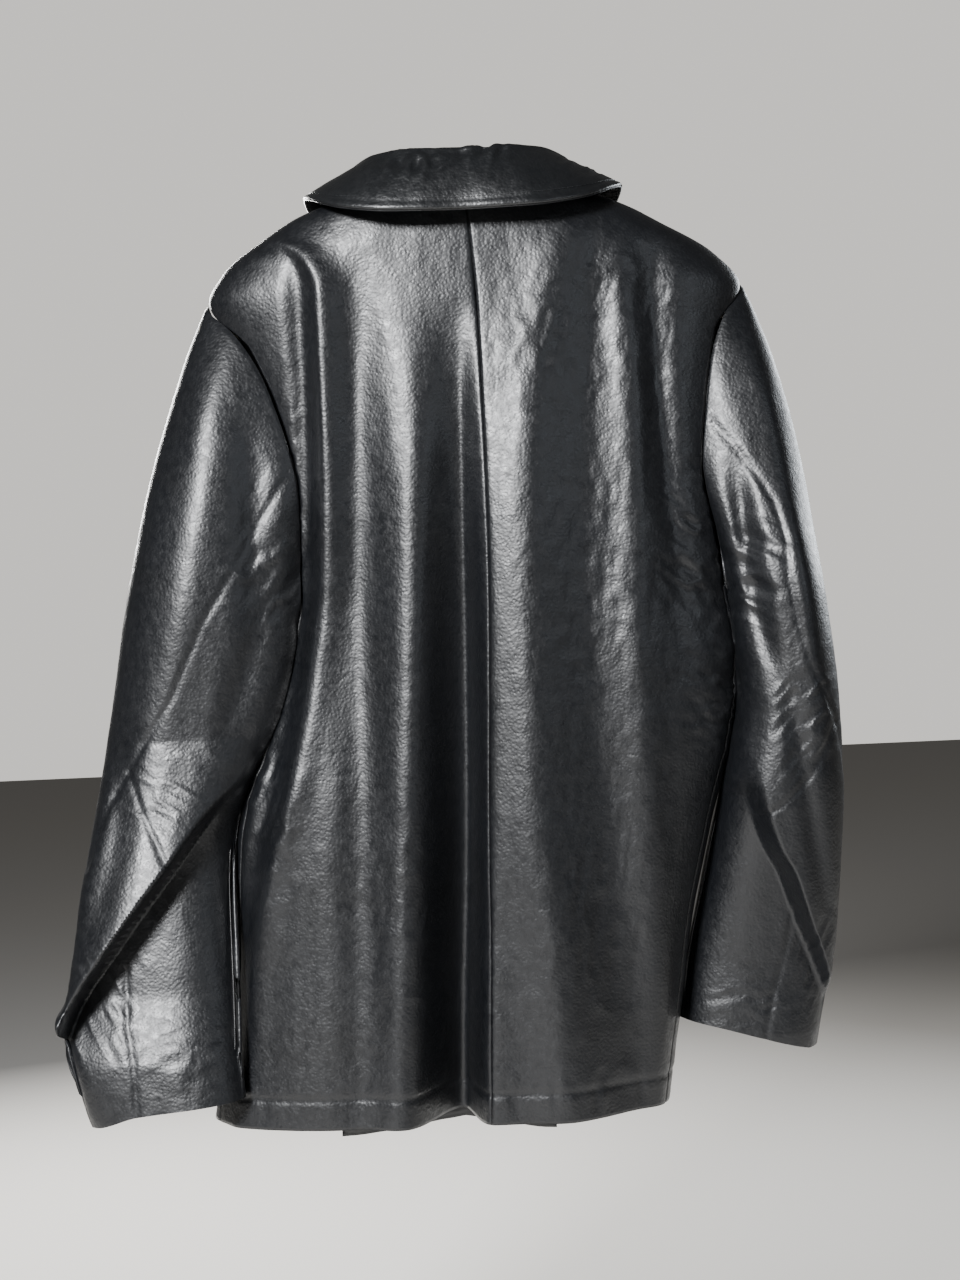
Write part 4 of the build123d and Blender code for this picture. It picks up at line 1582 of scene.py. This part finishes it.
def left_sleeve() -> Sleeve:
    """The left sleeve, which hangs wide and turned out.

    Returns:
        The sleeve, ready to build.
    """
    return Sleeve(
        Side.LEFT,
        centre_x=[(-335, -220), (-362, -223), (-426, -237), (-482, -257), (-520, -266),
                  (-560, -271), (-640, -275), (-686, -279), (-742, -266)],
        centre_y=[(-335, 0), (-425, -3), (-490, -10), (-560, -26), (-640, -48), (-700, -63),
                  (-742, -65)],
        half_width=[(-335, 74), (-362, 76), (-426, 73), (-482, 62), (-520, 59), (-560, 61),
                    (-640, 67), (-686, 72), (-742, 62)],
        half_depth=[(-335, 60), (-425, 55), (-490, 50), (-560, 44), (-640, 37), (-700, 30),
                    (-742, 29)],
        overhang=[(-440, 0), (-520, 14), (-600, 22), (-684, 14), (-700, 0)],
        recess=[(-470, 0), (-500, 14), (-560, 24), (-640, 24), (-700, 12), (-742, 6)],
        diagonal=[(-470, -190), (-489, -214), (-544, -257), (-599, -300), (-654, -339),
                  (-684, -352), (-700, -364), (-760, -366)],
        cuff=[(-352, -700), (-327, -747), (-288, -737), (-205, -729)],
        seams=[
            [(-149, -225), (-174, -264), (-197, -306), (-222, -345), (-250, -406), (-271, -436),
             (-288, -463), (-306, -491), (-318, -522), (-325, -540)],
            [(-288, -463), (-276, -495), (-257, -537)],
            [(-297, -623), (-296, -666), (-290, -695), (-288, -738)],
        ],
        folds=[
            Fold([(-120, -206), (-300, -232), (-420, -262)],
                 [(-100, 0), (-180, -5), (-320, -5), (-430, -3), (-480, 0)], 24, 22),
            Fold([(-200, -180), (-330, -178), (-430, -204)],
                 [(-160, 0), (-260, 6), (-380, 6), (-460, 0)], 12, 16),
            Fold([(-430, -300), (-500, -296), (-600, -322)],
                 [(-400, 0), (-470, 4), (-560, 4), (-640, 0)], 12, 14),
            Fold([(-520, -238), (-640, -244), (-742, -240)],
                 [(-500, 0), (-600, -3), (-742, -3)], 30, 34),
        ],
        crumples=[
            Crumple(-170, -300, 26, 60, 1.0, 9, 60, 71),
            Crumple(-255, -480, 50, 34, 0.4, 9, -30, 72),
            Crumple(-320, -640, 30, 60, 0.5, 9, -56, 73),
            Crumple(-240, -690, 50, 30, 0.4, 9, 10, 74),
        ],
    )


def right_sleeve() -> Sleeve:
    """The right sleeve, which hangs edge on behind the back.

    Returns:
        The sleeve, ready to build.
    """
    return Sleeve(
        Side.RIGHT,
        centre_x=[(-335, 248), (-425, 254), (-490, 249), (-560, 239), (-640, 226), (-707, 214)],
        centre_y=[(-335, 0), (-490, 0), (-560, 4), (-640, 8), (-707, 10)],
        half_width=[(-335, 41), (-425, 43), (-490, 49), (-560, 55), (-640, 60), (-707, 57)],
        half_depth=[(-335, 74), (-425, 70), (-490, 66), (-560, 58), (-640, 47), (-707, 40)],
        overhang=[(-440, 0), (-520, 5), (-600, 12), (-677, 13), (-700, 5)],
        recess=[(-470, 0), (-500, 14), (-560, 20), (-640, 16), (-707, 7)],
        diagonal=[(-460, 200), (-475, 214), (-521, 224), (-547, 232), (-571, 244), (-599, 253),
                  (-645, 270), (-677, 282), (-700, 296), (-740, 298)],
        cuff=[(157, -693), (186, -699), (222, -709), (262, -721)],
        seams=[
            [(200, -200), (217, -222), (232, -245), (244, -268), (251, -298), (251, -328),
             (258, -368), (266, -400), (280, -428), (288, -446), (298, -489)],
            [(287, -447), (278, -463), (267, -485), (255, -499), (239, -513), (224, -521)],
            [(252, -598), (243, -640), (232, -671), (224, -708)],
        ],
        folds=[
            Fold([(-110, 236), (-300, 262), (-420, 272)],
                 [(-90, 0), (-180, -4), (-330, -6), (-430, -4), (-480, 0)], 12, 12),
            Fold([(-240, 216), (-330, 224), (-400, 236)],
                 [(-220, 0), (-300, 9), (-350, 10), (-420, 0)], 10, 9),
            Fold([(-420, 250), (-520, 262), (-600, 276)],
                 [(-400, 0), (-470, 4), (-580, 4), (-660, 0)], 9, 9),
        ],
        crumples=[
            Crumple(222, -322, 22, 34, 1.8, 11, -30, 81),
            Crumple(258, -440, 26, 50, 0.8, 8, 50, 82),
            Crumple(262, -640, 22, 50, 0.5, 8, 62, 83),
            Crumple(200, -680, 40, 24, 0.4, 8, 10, 84),
        ],
        step=14.0,
    )


# ---- padding ----------------------------------------------------------------------------------
@dataclass
class Padding:
    """Shoulder pads and sleeve head rolls between the leather and the lining."""

    fill: float = 0.7

    def build(self) -> None:
        """Makes and dresses the padding of both shoulders."""
        for side in Side:
            self.make_pad(side)
            self.make_roll(side)

    def blob(self, name: str, outer: Array, inner: Array, node: str) -> None:
        """Closes two faces into one soft piece that is thin at its rim.

        Args:
            name: the piece's name.
            outer: grid of the outer face.
            inner: grid of the inner face.
            node: the node that it replaces.
        """
        rows, columns = outer.shape[:2]
        points = np.vstack([outer.reshape(-1, 3), inner.reshape(-1, 3)])
        faces = two_faced(rows, columns)
        piece = make_object(name, points, faces, len(faces))
        settle(piece, Finish.FELT, "root", node)

    def make_pad(self, side: Side) -> None:
        """Makes the shoulder pad: thick at the shoulder's end, feathered to its rim.

        Args:
            side: which shoulder.
        """
        z = np.linspace(-38, -104, 40)
        half = Curve([(0, 26), (-40, 30), (-82, 32), (-104, 22)])(z)
        u = np.linspace(-1, 1, 60)
        mid = 0.0 if side is Side.RIGHT else 180.0
        angle = mid + half[:, None] * u[None, :]
        height = z[:, None] + 0 * angle
        edge = np.minimum((1 - np.abs(u))[None, :] * 2.2,
                          np.minimum((-36 - z) / 14, (z + 106) / 14)[:, None])
        thick = 0.4 + Curve([(-36, 4), (-54, 9), (-82, 12), (-104, 4)])(height) * np.sqrt(
            np.clip(edge, 0, 1))
        outer = BODY.inset(angle, height, 4.4 + 0 * angle)
        inner = BODY.inset(angle, height, 4.4 + thick)
        self.blob(f"shoulder_pad_{side.word}_felt", outer, inner, f"shoulder_pad_{side.word}")

    def make_roll(self, side: Side) -> None:
        """Makes the strip of wadding that fills the head of the sleeve.

        Args:
            side: which shoulder.
        """
        centre = 227.0 if side is Side.RIGHT else -218.0
        z = np.linspace(-97, -122, 16)
        a, b = Curve([(-97, 7), (-122, 10)])(z), Curve([(-97, 18), (-122, 28)])(z)
        angle = np.radians(np.linspace(-58, 58, 50))
        faces = []
        for depth in (2.9, 6.4):
            x = centre + side.value * (a[:, None] - depth) * fuller(np.cos(angle))
            y = (b[:, None] - depth) * fuller(np.sin(angle))
            faces.append(np.stack([x, y, z[:, None] + 0 * x], -1))
        outer, inner = faces if side is Side.RIGHT else (faces[0][:, ::-1], faces[1][:, ::-1])
        self.blob(f"sleeve_head_roll_{side.word}_felt", outer, inner,
                  f"sleeve_head_roll_{side.word}")


# ---- stage ------------------------------------------------------------------------------------
@dataclass
class Studio:
    """Pale floor, soft lights and the camera that looks at the back of the jacket."""

    lights: Sequence[tuple] = (
        ("key_light", (-0.95, -2.0, 0.5), 0.42, 120.0, (0.97, 0.98, 1.0)),
        ("fill_light", (1.7, -1.7, 0.3), 0.8, 4.0, (0.86, 0.93, 1.0)),
        ("front_light", (-0.9, 1.9, 0.3), 0.8, 80.0, (1.0, 0.99, 0.97)),
        ("side_light", (1.3, 1.4, 0.2), 0.9, 22.0, (0.9, 0.95, 1.0)),
    )
    floor_z: float = -1.2
    floor_reach: float = 12.0
    lit_z: float = -0.38
    aim: tuple[float, float, float] = (0.0016, -0.060, -0.3686)
    lens: float = 55.6
    distance: float = 1.6
    roll: float = 2.5
    dim: float = 0.09
    bright: float = 1.0

    def build(self) -> None:
        """Builds the floor, the lights, the world and the camera."""
        self.make_floor()
        for light in self.lights:
            self.add_light(*light)
        self.make_world()
        self.make_camera()

    def make_world(self) -> None:
        """Makes a world that is pale to look at and dim as a light."""
        world = bpy.data.worlds.new("studio")
        world.use_nodes = True
        tree = world.node_tree
        tree.nodes["Background"].inputs["Color"].default_value = linear("#ece9e4")
        seen = add_node(tree, "ShaderNodeLightPath").outputs["Is Camera Ray"]
        glow = add_node(
            tree, "ShaderNodeMapRange", {"Value": seen},
            {"To Min": self.dim, "To Max": self.bright},
        )
        tree.links.new(glow.outputs["Result"], tree.nodes["Background"].inputs["Strength"])
        bpy.context.scene.world = world

    def make_camera(self) -> None:
        """Makes the camera, square to the back and rolled a little."""
        data = bpy.data.cameras.new("camera")
        data.lens, data.sensor_width, data.sensor_fit = self.lens, 36.0, "AUTO"
        camera = bpy.data.objects.new("camera", data)
        camera.location = (self.aim[0], self.aim[1] - self.distance, self.aim[2])
        camera.rotation_euler = (math.radians(90), math.radians(self.roll), 0.0)
        bpy.context.scene.collection.objects.link(camera)
        bpy.context.scene.camera = camera

    def make_floor(self) -> None:
        """Makes a wide floor below the hem."""
        mesh = bpy.data.meshes.new("floor")
        corners = ((-1, -1), (1, -1), (1, 1), (-1, 1))
        mesh.from_pydata(
            [(x * self.floor_reach, y * self.floor_reach, self.floor_z) for x, y in corners],
            [], [(0, 1, 2, 3)],
        )
        floor = bpy.data.objects.new("floor", mesh)
        bpy.context.scene.collection.objects.link(floor)
        material, tree, output = new_material("pale_floor")
        shader = add_node(
            tree, "ShaderNodeBsdfPrincipled", values={"Base Color": linear("#e4e1dc"),
                                                      "Roughness": 0.8}
        )
        tree.links.new(shader.outputs[0], output.inputs["Surface"])
        mesh.materials.append(material)

    def add_light(self, name: str, place: tuple[float, float, float], size: float,
                  power: float, colour: tuple[float, float, float]) -> None:
        """Adds a soft square light that faces the jacket's middle.

        Args:
            name: the light's name.
            place: where it stands.
            size: the side of its square.
            power: its power in watts.
            colour: its colour.
        """
        data = bpy.data.lights.new(name, "AREA")
        data.size, data.energy, data.color = size, power, colour
        light = bpy.data.objects.new(name, data)
        light.location = place
        aim = np.array([0.0, 0.0, self.lit_z]) - np.array(place)
        yaw, pitch = math.atan2(aim[0], -aim[1]), math.atan2(np.hypot(aim[0], aim[1]), -aim[2])
        light.rotation_euler = (pitch, 0.0, yaw + math.pi)
        bpy.context.scene.collection.objects.link(light)


def main() -> None:
    """Builds the jacket from the back outwards, then the studio."""
    logging.basicConfig(level=logging.INFO, format="%(name)s: %(message)s")
    Back().build()
    for side in Side:
        Front(side).build()
    Collar().build()
    left_sleeve().build()
    right_sleeve().build()
    Padding().build()
    Studio().build()


if __name__ == "__main__":
    main()
